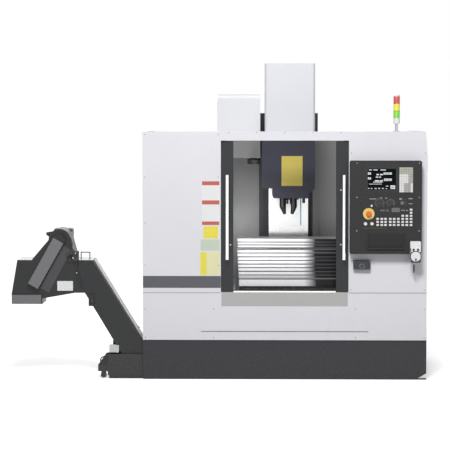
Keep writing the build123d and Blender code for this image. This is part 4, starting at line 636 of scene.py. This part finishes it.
def hose_recipe():
    """A corrugated conduit along a path: rings of two radii by turns."""
    r = Recipe("corrugated_hose", "Radius", "Groove", "Pitch", "Material")
    path = r.node("GeometryNodeResampleCurve", {"mode": "LENGTH"}, {
        "Curve": r.given["Geometry"], "Length": r.given["Pitch"]})
    odd = r.node("GeometryNodeInputIndex", {}, {}).sum("MODULO", 2.0)
    size = r.given["Radius"] - odd * r.given["Groove"]
    path = r.node("GeometryNodeSetCurveRadius", {}, {"Curve": path, "Radius": size})
    ring = r.node("GeometryNodeCurvePrimitiveCircle", {"mode": "RADIUS"}, {
        "Resolution": 14, "Radius": 1.0})
    return r.end(r.node("GeometryNodeCurveToMesh", {}, {
        "Curve": path, "Profile Curve": ring, "Scale": size, "Fill Caps": True}))


screws = screw_recipe()
keys = key_recipe()
conduits = hose_recipe()
towards_front = (FULL_TURN / 4, 0.0, 0.0)
# Depths of the control box: its front, and the plates screwed to it
box_front, plate_front = -80, -81.2
wheel_z = 986
knob_spots = (741, 826)
knob_z = 1402


def add_screws(name, places, radius, height, look="foot_steel", turn=towards_front):
    mesh = screws.run(name, points_mesh(places), look, Radius=radius, Height=height, Turn=turn)
    add_piece(name, mesh, "machine", look)


def make_left_plates():
    """The plain colour fields on the left front panel, and the dark stripe below."""
    form = Form("left_panel_fields", "field_white", "field_red", "field_yellow", "field_green",
                "field_pale_yellow")
    for look, thick, x0, x1, z0, z1 in (
            (0, 0.4, -652, -513, 1224, 1568), (1, 0.7, -651, -514, 1537, 1568),
            (1, 0.7, -651, -514, 1386, 1418), (1, 0.7, -651, -514, 1224, 1252),
            (2, 0.6, -640, -525, 1118, 1213), (3, 0.5, -662, -513, 1022, 1110),
            (4, 0.5, -667, -513, 826, 1012), (2, 0.7, -664, -616, 830, 1008)):
        form.box(x0, x1, -thick, 0, z0, z1, 0.25, look)
    form.add("panel_white")
    form = Form("left_panel_stripe", "stripe_grey")
    form.box(-1117, -504, -1.2, 0, 727, 821, 0.5)
    form.add("skirt_dark")


def make_head_plate():
    """The plain yellow plate on the head and its four rivets."""
    form = Form("head_plate", "field_amber", "polished_steel")
    form.box(-19, 152, 528.8, 530, 1514, 1757, 0.5)
    for x in (-10, 143):
        for z in (1523, 1748):
            form.disc(x, 527.4, 528.8, z, 3.2, 16, 1, 2.2)
    form.add("panel_white", "head")


def make_box_face():
    """The control box's front: screwed plates, label strips, scales and the shelf."""
    form = Form("control_box_face", "box_dark", "label_grey", "knob_black", "key_grey",
                "push_white", "line_brown", "recess_dark")
    for x0, x1, z0, z1 in ((600, 1058, 1466, 1724), (600, 1058, 1196, 1456),
                           (600, 1058, 1010, 1186), (514, 594, 1010, 1724)):
        form.box(x0, x1, plate_front, box_front, z0, z1, 0.6)
    # The shelf's floor (look 6) is darker than the box: painted shade in its recess
    for x0, x1, y, z0, z1, bevel, look in (
            (640, 940, -96, 1040, 1052, 2, 0), (640, 650, -92, 1052, 1164, 1.5, 0),
            (930, 940, -92, 1052, 1164, 1.5, 0), (640, 940, -81.9, 1052, 1164, 0.4, 6),
            (833, 898, -83.6, 1331, 1364, 0.8, 1), (744, 818, -82.4, 1330, 1356, 0.6, 2),
            (906, 968, -82.4, 1334, 1352, 0.6, 2), (893, 950, -82.6, 1374, 1432, 0.8, 2)):
        form.box(x0, x1, y, plate_front, z0, z1, bevel, look)
    for x, z, half, high in (
            (686, 1434, 26, 3), (749, 1442, 10, 3), (790, 1440, 8, 3), (903, 1434, 10, 6),
            (981, 1436, 16, 4), (981, 1396, 16, 3), (914, 1345, 5, 4), (930, 1345, 5, 4),
            (952, 1343, 6, 4), (752, 1344, 5, 3), (770, 1344, 5, 3), (800, 1342, 6, 3)):
        form.box(x - half, x + half, -83, plate_front, z - high, z + high, 0.2, 3)
    form.box(610, 800, -81.8, plate_front, 1204, 1206, 0.2, 5)
    form.disc(677, -86, plate_front, 1380, 9, 24, 4, 7)
    for angle in range(-135, 136, 27):
        for x, r in zip(knob_spots, (40, 33)):
            turn = math.radians(angle)
            px, pz = x + r * math.sin(turn), knob_z + r * math.cos(turn)
            form.box(px - 1.6, px + 1.6, -81.8, plate_front, pz - 1.6, pz + 1.6, 0, 3)
    for x, inner in zip(knob_spots, (30, 24)):
        form.ring(x, knob_z, inner, inner + 4, -83, plate_front, 1)
    form.add("box_dark")


def make_screen_picture():
    """The lit display: plain blocks and bars on a near-black ground, with no words."""
    left = 637
    form = Form("screen_picture", "display_dark", "display_light", "display_grey")
    form.box(left + 9, left + 230, -84.2, -83.6, 1507, 1670)
    for z, half, *blocks in (
            (1660, 3, 18, 40, 52, 86, 108, 150), (1632, 8, 10, 34, 132, 172, 176, 196),
            (1624, 5, 76, 96, 104, 128), (1594, 8, 10, 34), (1604, 4, 72, 92, 98, 112),
            (1584, 9, 136, 172, 176, 196), (1576, 4, 64, 96, 102, 128), (1566, 3, 52, 124),
            (1550, 2, 20, 118), (1534, 3, 150, 168), (1526, 14, 186, 222),
            (1516, 3, 12, 22, 34, 44, 62, 78, 90, 104, 120, 134, 150, 160)):
        for x0, x1 in zip(blocks[::2], blocks[1::2]):
            form.box(left + x0, left + x1, -84.8, -84.2, z - half, z + half, 0, 1)
            if half > 6:
                form.box(left + x0 + 5, left + x1 - 5, -85.0, -84.8, z - half / 2,
                         z + half / 2 - 1, 0, 2)
    form.add("screen_glass")


def make_keys():
    """The operator's keys, in groups of one colour, with rings, plates and socket."""
    wide = [(x, -83, z) for x in (724.5, 757, 786, 823, 853, 886, 920, 952, 985)
            for z in (1278, 1254, 1230)]
    wide += [(x, -83, z) for x, z in (
        (920, 1302), (952, 1302), (985, 1302), (985, 1326), (985, 1350))]
    groups = {"push_white": wide, "pad_green": [], "pad_white": [], "pad_grey": []}
    pitch = 17.8
    for column in range(6):
        for row in range(11):
            look = "pad_green" if row < 3 else "pad_white"
            if (3 <= row < 7 and column > 3) or (row >= 7 and 1 < column < 5):
                look = "pad_grey"
            groups[look].append((901 + column * pitch, -81.8, 1671.5 - row * pitch))
    looks = [*groups, "ring_yellow", "knob_black", "box_dark", "label_grey"]
    form = Form("operator_keys", *looks)
    for look, places in groups.items():
        width, tall, depth = (0.021, 0.016, 0.006) if places is wide else (0.0172, 0.0172, 0.0036)
        start = len(form.bm.faces)
        form.bm.from_mesh(keys.run(look + "_keys", points_mesh(places), look, Width=width,
                                   Tall=tall, Depth=depth, Turn=towards_front))
        form.bm.faces.ensure_lookup_table()
        for face in form.bm.faces[start:]:
            face.material_index = looks.index(look)
    for x, z, r, inner, proud, look in (
            (knob_spots[0], knob_z, 34, 14, 2, 5), (knob_spots[1], knob_z, 27, 14, 2, 5),
            (655, 1317, 45, 14, 2.6, 4), (630, 1239, 18, 13.4, 2, 5),
            (680, 1239, 18, 13.4, 2, 5)):
        form.ring(x, z, inner, r, -80.2 - proud, box_front, look)
    form.box(892, 938, -88, box_front, 1379, 1425, 2, 6)
    form.disc(915, -89.5, -88, knob_z, 15, 24, 7, 13)
    form.add("key_grey", "machine", "control_keys")


def make_screws():
    """Every visible screw of the front, one mesh for each group."""
    panel = [(x, -0.6, z) for xs, zs in (
        ((-1100, -523), (905, 1240, 1600, 1935)), ((523, 1100), (712, 1790)),
        ((-1100, -560, 560, 1100), (334, 560)), ((-440, -220, 0, 220, 440), (1950,)))
        for x in xs for z in zs]
    guard = ((-1800, 1130), (-1757, 1118), (-1848, 1020), (-1806, 998), (-2004, 778),
             (-1962, 756))
    hopper = ((-2095, 905), (-2130, 700), (-1700, 712), (-1560, 905), (-1480, 790), (-1410, 680),
              (-1340, 565), (-1270, 450), (-1200, 335), (-1520, 620), (-1450, 505), (-1380, 390),
              (-1310, 275), (-1240, 160))
    add_screws("control_box_screws",
               [(x, -81.6, z) for x in (562, 1048) for z in (1713, 1446, 1184)], 0.005, 0.004)
    add_screws("panel_screws", panel, 0.0045, 0.003)
    add_screws("port_screws", [(x, -30.8, z) for x in (547, 666) for z in (879, 941)], 0.0028,
               0.0025)
    add_screws("guard_screws", [(x, 17.4, z) for x, z in guard], 0.005, 0.004, "conveyor_dark")
    add_screws("conveyor_screws", [(x, 59.4, z) for x, z in hopper], 0.005, 0.004,
               "conveyor_dark")


def make_pendant_trim():
    """The pendant's dark wheel housing, its scale ring, and the dark selector knobs."""
    x, z = pendant_x, wheel_z
    form = Form("pendant_trim", "knob_black", "push_white")
    form.ring(x, z, 38.6, 44, -126.4, -125)
    form.disc(x, -125.5, -110, z - 2, 46, 56, 0, 44.5)
    form.boxes((x - 41.5, x + 41.5, -124, -108, 937.5, 1022, 9),
               (x - 41, x - 34, -122.6, -100, 1022, 1050, 2))
    for knob in (x - 17, x + 17):
        form.disc(knob, -135.4, -134, 1041, 9.2, 24, 0, 8)
        form.box(knob - 2, knob + 2, -139, -135.4, 1032, 1050, 0.6)
    for px, pz in round_places(x, z, 41, 50):
        form.box(px - 0.4, px + 0.4, -126.7, -126.2, pz - 0.6, pz + 0.6, 0, 1)
    form.add("knob_black")


def make_wheel_face():
    """The handwheel's knurled rim and its dark crank cap."""
    x, z = pendant_x, wheel_z
    form = Form("wheel_face", "pendant_white", "knob_black")
    form.ring(x, z, 9, 38, -139.4, -127, 0, 60)
    for px, pz in round_places(x, z, 37.9, 48):
        form.box(px - 0.8, px + 0.8, -138, -128, pz - 0.8, pz + 0.8, 0.2)
    form.disc(x, -152.1, -138, z - 22, 7.4, 20, 1, 6)
    form.disc(x, -140, -137, z, 12, 24, 0, 10)
    form.add("pendant_white", "handwheel")


def make_port_face():
    """The service port's sockets and its pale lower frame."""
    front = -30
    form = Form("port_face", "knob_black", "label_grey")
    form.ring(607, 903, 14, 22, -33.5, front, 1)
    form.disc(607, -31.4, front, 903, 14, 24)
    form.boxes((603, 611, -35, front, 876, 902, 1), (552, 592, -31.6, front, 915, 935, 1),
               (628, 660, -32, front, 905, 932, 1), (541, 672, -30.8, front, 872, 880, 0.4, 1))
    form.add("port_black")


def make_conveyor_trim():
    """What is bolted to the conveyor's side: guard plates, the chute's skirt, a white
    blank plate, flanges, a limit switch with its lead and a lifting lug."""
    side = 60
    form = Form("conveyor_trim", "conveyor_dark", "guard_grey", "field_white", "guard_dark",
                "pad_white")
    form.slant(-1788, 1098, -1991, 737, 45, 14.5, 18, 1)
    form.slant(-1722, 1040, -1905, 700, 40, 54, side, 3)
    form.boxes((-2166, -1922, 55, side, 591, 668, 1.5, 1), (-2166, -1922, 52, side, 664, 673, 1.5),
               (-1930, -1920, 50, side, 591, 673, 1.5), (-1802, -1678, 56.6, 58, 697, 774, 0.4, 2))
    form.prism([(-1888, 1160), (-1888, 1140), (-1862, 1124), (-1820, 1150), (-1836, 1168)], 62,
               96)
    for x in (-1876, -1850):
        form.disc(x, 58, 62, 1147, 5, 16, 3, 3.5)
    form.prism([(-1392, 205), (-1412, 205), (-1450, 150), (-1476, 112), (-1392, 100)], side, 66)
    form.boxes((-1552, -1512, 44, 58, 576, 668, 2), (-1552, -1546, 30, 58, 576, 640, 1.5, 3))
    form.disc(-1524, 36, 44, 618, 11, 24, 3, 9)
    # Painted highlights: pale strips on the incline's edge and the hopper's step tops, where light
    # from above catches them
    form.slant(-1519, 938, -1084, 227, 3, 190, 329, 4)
    for x0, x1 in ((-1700, -1524), (-2121, -2010)):
        form.slant(x0, 936, x1, 936, 3, 66, 322, 4)
    form.add("conveyor_dark")
    form = Form("conveyor_switches", "knob_black", "push_white")
    for x0, x1, y, z0, z1 in (
            (-1728, -1700, 36, 972, 992), (-1700, -1668, 30, 985, 1030),
            (-1668, -1640, 24, 966, 1012), (-1676, -1652, 34, 934, 966),
            (-1648, -1628, 24, 936, 1006), (-1710, -1690, 40, 932, 958),
            (-1650, -1636, 40, 836, 848), (-1646, -1634, 42, 806, 820)):
        form.box(x0, x1, y, side, z0, z1, 2)
    for x, z, r in ((-1651, 998, 7), (-1672, 960, 8), (-1646, 842, 5)):
        form.disc(x, 20, side, z, r, 20, 1, r * 0.7)
    for x, z in ((-1638, 1006), (-1672, 1014)):
        form.disc(x, 26, 58, z, 12, 20, 0, 8)
    form.add("knob_black")


def make_hoses():
    """Corrugated leads of the two switches on the conveyor's side."""
    radius = 0.0045
    for name, *places in (
            ("conduit_switch", (-1640, 42, 960), (-1650, 40, 900), (-1640, 44, 860),
             (-1632, 48, 800), (-1600, 52, 716)),
            ("conduit_switch_back", (-1690, 40, 1020), (-1676, 34, 1060), (-1688, 50, 1100),
             (-1712, 120, 1140))):
        mesh = conduits.run(name, smooth_curve("path", places, 16), "knob_black", Radius=radius,
                            Groove=radius * 0.18, Pitch=radius * 0.45)
        add_piece(name, mesh, "machine", "knob_black")


def make_tower_sleeve():
    """The signal lamp's white foot piece and the dark seams between its lenses."""
    x, y, top = 877, 36, 2063
    form = Form("tower_sleeve", "push_white", "knob_black")
    form.tube(x, y, 2021, top, 25.6)
    for seam in (top + 58, top + 116):
        form.tube(x, y, seam - 1.6, seam + 0.6, 25.3, 40, 1, 0.3)
    form.add("push_white")


def make_rib_hems():
    """Folded hems at each cover step's lower edge, dark as painted shadow of the gap, and the last
    wiper.
    """
    top, riser, tread = 1004, 27, 18
    bodies = "saddle", "cover_hood_1", "cover_hood_2", "cover_hood_3", "machine"
    for number, body in enumerate(bodies):
        level = top - number * 2 * riser
        front = 420 - number * 64
        x0, x1 = spindle_x - 425 + number * 4, spindle_x + 425 - number * 4
        form = Form(f"cover_hem_{number}", "hem_grey", "rubber_strip", "stainless")
        steps = [(front + tread, level), (front, level - riser)]
        # Painted shadow: a dark strip at the foot of each step stands in for the shaded gap
        # beneath it
        for y, z in [(front, level)] if body == "machine" else steps:
            form.box(x0 + 1, x1 - 1, y - 2.2, y, z - 8, z - 0.8, 0.4)
        if body == "machine":
            form.boxes((x0 + 1, x1 - 1, front + 12, front + 17, 691, 725, 1, 1),
                       (x0, x1, front - 1, front, 727, level - 8.5, 0.3, 2))
        if body == "saddle":
            for y, z in steps:
                form.box(x0, x1, y - 1, y, z - riser + 0.5, z - 0.5, 0.3, 2)
        form.add("stainless", body)


def make_table_apron():
    """The ribbed stainless apron on the table's front edge."""
    front = (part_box("table")[0][1] - origin_y) / MM
    form = Form("table_apron", "stainless", "hem_grey")
    # Each rib has a dark strip at its foot: painted shadow of the gap beneath it
    for step in range(3):
        y, z = front - 0.2 - step * 0.5, 1077 - step * 23.4
        form.boxes((-376, 472, y - 1.4, y, z - 22.6, z if step else z + 7, 0.5),
                   (-376, 472, y - 2.6, y - 0.6, z - 23.2, z - 15.6, 0.4, 1))
    form.add("stainless", "table")


def make_door_trim():
    """Rubber seals on the doors' meeting edges, and caps beside their handles."""
    for side, door, caps in ((-1, "left_door", (1067,)), (1, "right_door", (1499, 1069))):
        low, high = ((corner[0] - origin_x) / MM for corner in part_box(door))
        inner = high if side < 0 else low
        low, high = ((corner[0] - origin_x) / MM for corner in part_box(f"{door}_handle"))
        form = Form(f"{door}_trim", "rubber_strip", "push_white")
        form.box(inner, inner + side * 6, 20, 50, 700, 1880, 1)
        for z in caps:
            form.disc((low + high) / 2 - side * 24, 6, 16, z, 6, 20, 1, 5)
        form.add("lead_black", door)


def make_cabinet_trim():
    """The cabinet door's louvres, switch, lock and seal, and the cabinet's fittings."""
    face = 2187
    form = Form("cabinet_door_trim", "cabinet_white", "knob_black", "label_grey", "stop_red",
                "foot_steel")
    for x0, x1 in ((-330, -40), (130, 420)):
        form.louvres(x0, x1, face, 500, 9)
        form.louvres(x0, x1, face, 1690, 7)
    form.box(-440, -356, face, 2191, 1440, 1530, 2, 2)
    form.disc(-398, 2191, 2196, 1485, 30, 40, 1)
    form.box(-406, -390, 2195, 2200.5, 1455, 1515, 2, 3)
    form.disc(-490, face, 2194, 1060, 11, 24, 4)
    form.disc(-490, 2194, 2194.6, 1060, 5, 16, 1)
    form.box(-500, 600, face, 2188, 940, 944, 0.3)
    form.add("cabinet_white", "electrical_door")
    form = Form("cabinet_trim", "cabinet_white", "rubber_strip", "foot_steel")
    for x0, x1, z0, z1 in ((-556, 636, 382, 392), (-556, 636, 1938, 1948),
                           (-558, -548, 392, 1938), (628, 638, 392, 1938)):
        form.box(x0, x1, 2160, 2162.6, z0, z1, 0.4, 1)
    form.box(-565, -560, 1770, 1880, 1390, 1550, 1.5, 1)
    for y, z in ((1800, 1500), (1850, 1440), (1850, 1500), (1800, 1440)):
        form.box(-584, -564, y - 15, y + 15, z - 15, z + 15, 6, 2)
    for z in (700, 1160, 1620):
        for x in (-563, 640):
            form.box(x, x + 3, 1752, 2158, z, z + 3, 0.5)
    form.add("cabinet_white")


def make_cabinet_insides():
    """What hangs on the cabinet's back plate: ducts, drives, breakers and terminals."""
    face = 1772.5
    form = Form("cabinet_insides", "pad_grey", "cabinet_white", "knob_black", "pad_green",
                "foot_steel", "display_grey", "stop_red", "pad_white", "line_brown")

    def block(x, wide, low, high, z0, z1, bevel, look):
        form.box(x, x + wide, face + low, face + high, z0, z1, bevel, look)

    block(-499, 1078, 0, 1, 441, 1889, 0, 4)
    for x in (-494, 526):
        block(x, 48, 0, 64, 446, 1884, 1, 0)
    for z in (470, 790, 1100, 1400, 1720, 1862):
        block(-440, 960, 0, 62, z - 22, z + 22, 1, 0)
        for n in range(68):
            block(n * 14 - 436, 7, 12, 58, z - 27, z + 27, 0, 0)
    for x, wide in (
            (-430, 180), (-240, 86), (-148, 86), (-56, 86), (44, 60), (110, 60), (190, 320)):
        block(x, wide, 0, 180, 1432, 1688, 3, 1)
        block(x + 4, wide - 8, 178, 186, 1560, 1682, 2, 2)
        block(x + wide / 2 - 18, 36, 186, 187, 1636, 1662, 0, 5)
        block(x + 10, wide - 20, 176, 184, 1446, 1478, 1, 3)
        for n in range(wide // 20):
            form.tube(x + 14 + n * 20, face + 150, 1423, 1434, 5, 12, 2)
    for x in range(-428, 496, 66):
        block(x, 56, 0, 88, 1190, 1300, 2, 2)
        block(x + 10, 36, 88, 96, 1215, 1275, 2, 1)
        block(x + 18, 20, 96, 97, 1236, 1254, 0, 5)
    for n in range(26):
        x = n * 36 - 430
        block(x, 33, 0, 60, 900, 1000, 1.5, 1)
        block(x + 4, 25, 60, 70, 925, 975, 1.5, 1)
        block(x + 12, 9, 70, 80, 945, 962, 1, 2 if n % 4 else 6)
    for n in range(88):
        block(n * 10.6 - 430, 9.6, 0, 44, 650, 710, 0.6, (7, 7, 7, 3, 5)[n % 5])
    for x in (-410, -180):
        block(x, 190, 0, 120, 500, 610, 3, 2)
        for n in range(3):
            form.tube(x + 32 + n * 63, face + 62, 515, 596, 27, 28, 8)
    block(60, 440, 0, 110, 505, 615, 3, 4)
    for n in range(20):
        block(72 + n * 21, 12, 109, 111, 520, 600, 0, 2)
    form.add("key_grey")


def make_motor_trim():
    """The fan cowls, terminal boxes and cover bolts of the gearmotor and the pump."""
    motor_x, motor_z = -1783, 1101
    pump_x, pump_y = -1235, 500
    form = Form("motor_trim", "motor_grey", "foot_steel")
    form.tube(motor_x, 399.5, 790, 832, 62, 48, 0, 4)
    form.box(motor_x - 29, motor_x + 29, 456, 492, 870, 950, 4)
    form.disc(motor_x, 439, 446, motor_z, 42, 40)
    for x, z in round_places(motor_x, motor_z, 56, 6):
        form.disc(x, 439, 444, z, 6, 6, 1)
    form.tube(pump_x, pump_y, 312, 367, 57.5, 48, 0, 8)
    for z in range(224, 308, 12):
        form.tube(pump_x, pump_y, z, z + 3, 59, 40, 0, 0.8)
    form.box(pump_x - 27, pump_x + 27, 552, 584, 240, 300, 4)
    for x, y in round_places(pump_x, pump_y, 63, 6, 0.5):
        form.tube(x, y, 205, 211, 5, 6, 1)
    form.add("motor_grey")


def make_head_vents():
    """Louvres on the back of the head's cover, where the spindle motor breathes."""
    form = Form("head_vents", "cover_white", "knob_black")
    for x0, x1 in ((-120, 28), (68, 216)):
        form.louvres(x0, x1, 930, 2260, 8)
    form.box(-156, 252, 929.5, 931, 2180, 2184, 0.4, 1)
    form.add("panel_white", "head")


def make_side_trim():
    """Seams, covers and screws on the side panels and the magazine's cover."""
    for side, name in ((-1, "left"), (1, "right")):
        out = side * 1120
        # The right panel is the edge of the CAD box, so its trim is thinner
        proud = -1 if side < 0 else 0.25
        form = Form(f"{name}_side_trim", "panel_white", "hem_grey", "foot_steel")
        for y in (500, 990):
            form.box(out - side * 0.5, out + side * 0.3, y - 1.5, y + 1.5, 320, 1955, 0, 1)
        form.boxes((out, out + proud * 2.5, 1040, 1420, 1180, 1600, 0.25),
                   (out + proud * 2.5, out + proud * 6, 1060, 1074, 1350, 1430, 0.25, 2))
        form.add("panel_white")
        places = [(out + proud * 0.8, y, z) for y in (60, 440, 560, 930, 1050, 1440)
                  for z in (360, 1130, 1920)]
        places += [(out + proud * 3, y, z) for y in (1060, 1400) for z in (1200, 1580)]
        add_screws(f"{name}_side_screws", places, 0.006, abs(proud) * 0.003,
                   turn=(0.0, side * FULL_TURN / 4, 0.0))
    form = Form("magazine_hatch", "magazine_paint", "foot_steel")
    form.boxes((-545, -542, 700, 1160, 1800, 2200, 2), (-551, -545, 905, 955, 1821, 1839, 2, 1),
               (-551, -545, 905, 955, 2151, 2169, 2, 1))
    form.add("panel_white")
    places = [(-545.6, y, z) for y in (720, 930, 1140) for z in (1815, 2185)]
    places += [(-542.6, y, z) for y in (665, 1200) for z in (1770, 2000)]
    add_screws("magazine_screws", places, 0.006, 0.003, turn=(0.0, -FULL_TURN / 4, 0.0))


def make_plain_parts():
    """The thin joints of the front with painted shadow lines, a painted highlight on the sill's
    edge, and the plainest plates.
    """
    for name, slot_name, looks, *rows in (
            # Painted shadow: grey strips along the seam above the lower panels, wider than its
            # real groove
            ("front_seams", "panel_white", ("seam_grey", "hem_grey"),
             (-1119, -504, -0.5, 0.5, 684, 693), (504, 1119, -0.5, 0.5, 684, 693),
             (-660, 660, -0.5, 0.5, 379, 383.5, 0, 1)),
            # Painted highlight: a bright strip along the sill's front edge
            ("sill_highlight_strip", "sill_beige", ("bright_cover",), (-403, 403, -0.6, 1, 693, 701, 0.3)),
            ("column_side_lining", "lining_grey", ("lining_grey",),
             (256, 299, 1227, 1229, 770, 1895, 0.5)),
            ("kick_strip", "skirt_dark", ("skirt_dark",),
             (-1119, 1119, 11, 14, 1, 13, 0.5), (-1391, -1119, 41, 44, 1, 40, 0.5)),
            ("tank_block", "tank_dark", ("edge_pale",),
             (-1391, -1314, 52, 110, 206, 264, 2))):
        form = Form(name, *looks)
        form.boxes(*rows)
        form.add(slot_name)


def make_lead():
    """The hand pendant's lead, down from its gland, round and up behind it."""
    x, gland_y, gland_z = 1011, -101, 924
    curve = smooth_curve("pendant_cable", [
        (x, y, z) for y, z in ((gland_y, gland_z), (-101, 896), (-93, 864), (-66, 852),
                               (-39, 866), (-32, 902), (-31, 938), (-31, 988))], 12)
    curve.bevel_depth = 3.5 * MM
    curve.bevel_resolution = 4
    lead = link("pendant_cable", curve)
    curve.materials.append(finishes["lead_black"])
    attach(lead, "machine")
    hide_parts("pendant_lead")


def aim(thing, place, target):
    thing.location = place
    thing.rotation_euler = (target - place).to_track_quat("-Z", "Y").to_euler()


def make_camera():
    """The camera at the photograph's place, slightly left of the doorway's middle."""
    data = bpy.data.cameras.new("camera")
    data.sensor_width = 36.0
    data.lens = 142.5
    data.clip_end = 100.0
    camera = link("camera", data)
    aim(camera, at(-200, -14000, 2014), at(-470, 0, 1224))
    bpy.context.scene.camera = camera


def make_studio():
    """Soft light from the front, left and above, and a plain pale surround."""
    f = Finish("surround", bpy.data.worlds.new("surround"), "Background")
    bpy.context.scene.world = f.set(Color=(1.0, 1.0, 1.0),
                                    Strength=f.span(f.seen(), 0.0, 1.0, 0.2, 1.0))
    middle = at(-200, 600, 1000)
    for name, place, target, size, power in (
            ("key", at(-500, -6000, 6800), middle, (2.0, 2.0), 562.0),
            ("fill", at(3800, -5600, 2600), middle, (3.0, 3.0), 20.0),
            ("cabin", at(-330, 140, 1300), at(-700, 1250, 1350), (0.3, 0.3), 2.2),
            ("rim", at(-600, 5200, 4600), middle, (4.0, 2.0), 160.0)):
        data = bpy.data.lights.new(name, "AREA")
        data.shape = "RECTANGLE"
        data.size, data.size_y = size
        data.energy = power
        aim(link(name, data), place, target)


def make_floor():
    """A plain pale floor that keeps the machine's shadow."""
    reach = 60.0
    mesh = bpy.data.meshes.new("floor")
    mesh.from_pydata([(-reach, -reach, 0), (reach, -reach, 0), (reach, reach, 0),
                      (-reach, reach, 0)], [], [(0, 1, 2, 3)])
    floor = link("floor", mesh)
    f = Finish("floor_paint")
    away = f.node("ShaderNodeVectorMath", {"operation": "LENGTH"}, {0: f.place()}, "Value")
    pale = f.mix(f.noise(0.8), 0.94, 0.96)
    mesh.materials.append(f.set(
        Base_Color=f.mix(f.ray("Diffuse"), pale, 0.6), Roughness=0.9, Specular_IOR_Level=0.0,
        Emission_Strength=1.0,
        Emission_Color=f.mix(f.seen(), 0.0, f.mix(f.span(away, 2.2, 6.5), 0.5, 0.88))))


for make in (make_left_plates, make_head_plate, make_box_face, make_screen_picture, make_keys,
             make_screws, make_pendant_trim, make_wheel_face, make_conveyor_trim, make_port_face,
             make_hoses, make_tower_sleeve, make_rib_hems, make_table_apron, make_door_trim,
             make_cabinet_trim, make_cabinet_insides, make_motor_trim, make_head_vents,
             make_side_trim, make_plain_parts, make_lead, make_camera, make_studio, make_floor):
    make()
bpy.context.scene.view_settings.view_transform = "Standard"
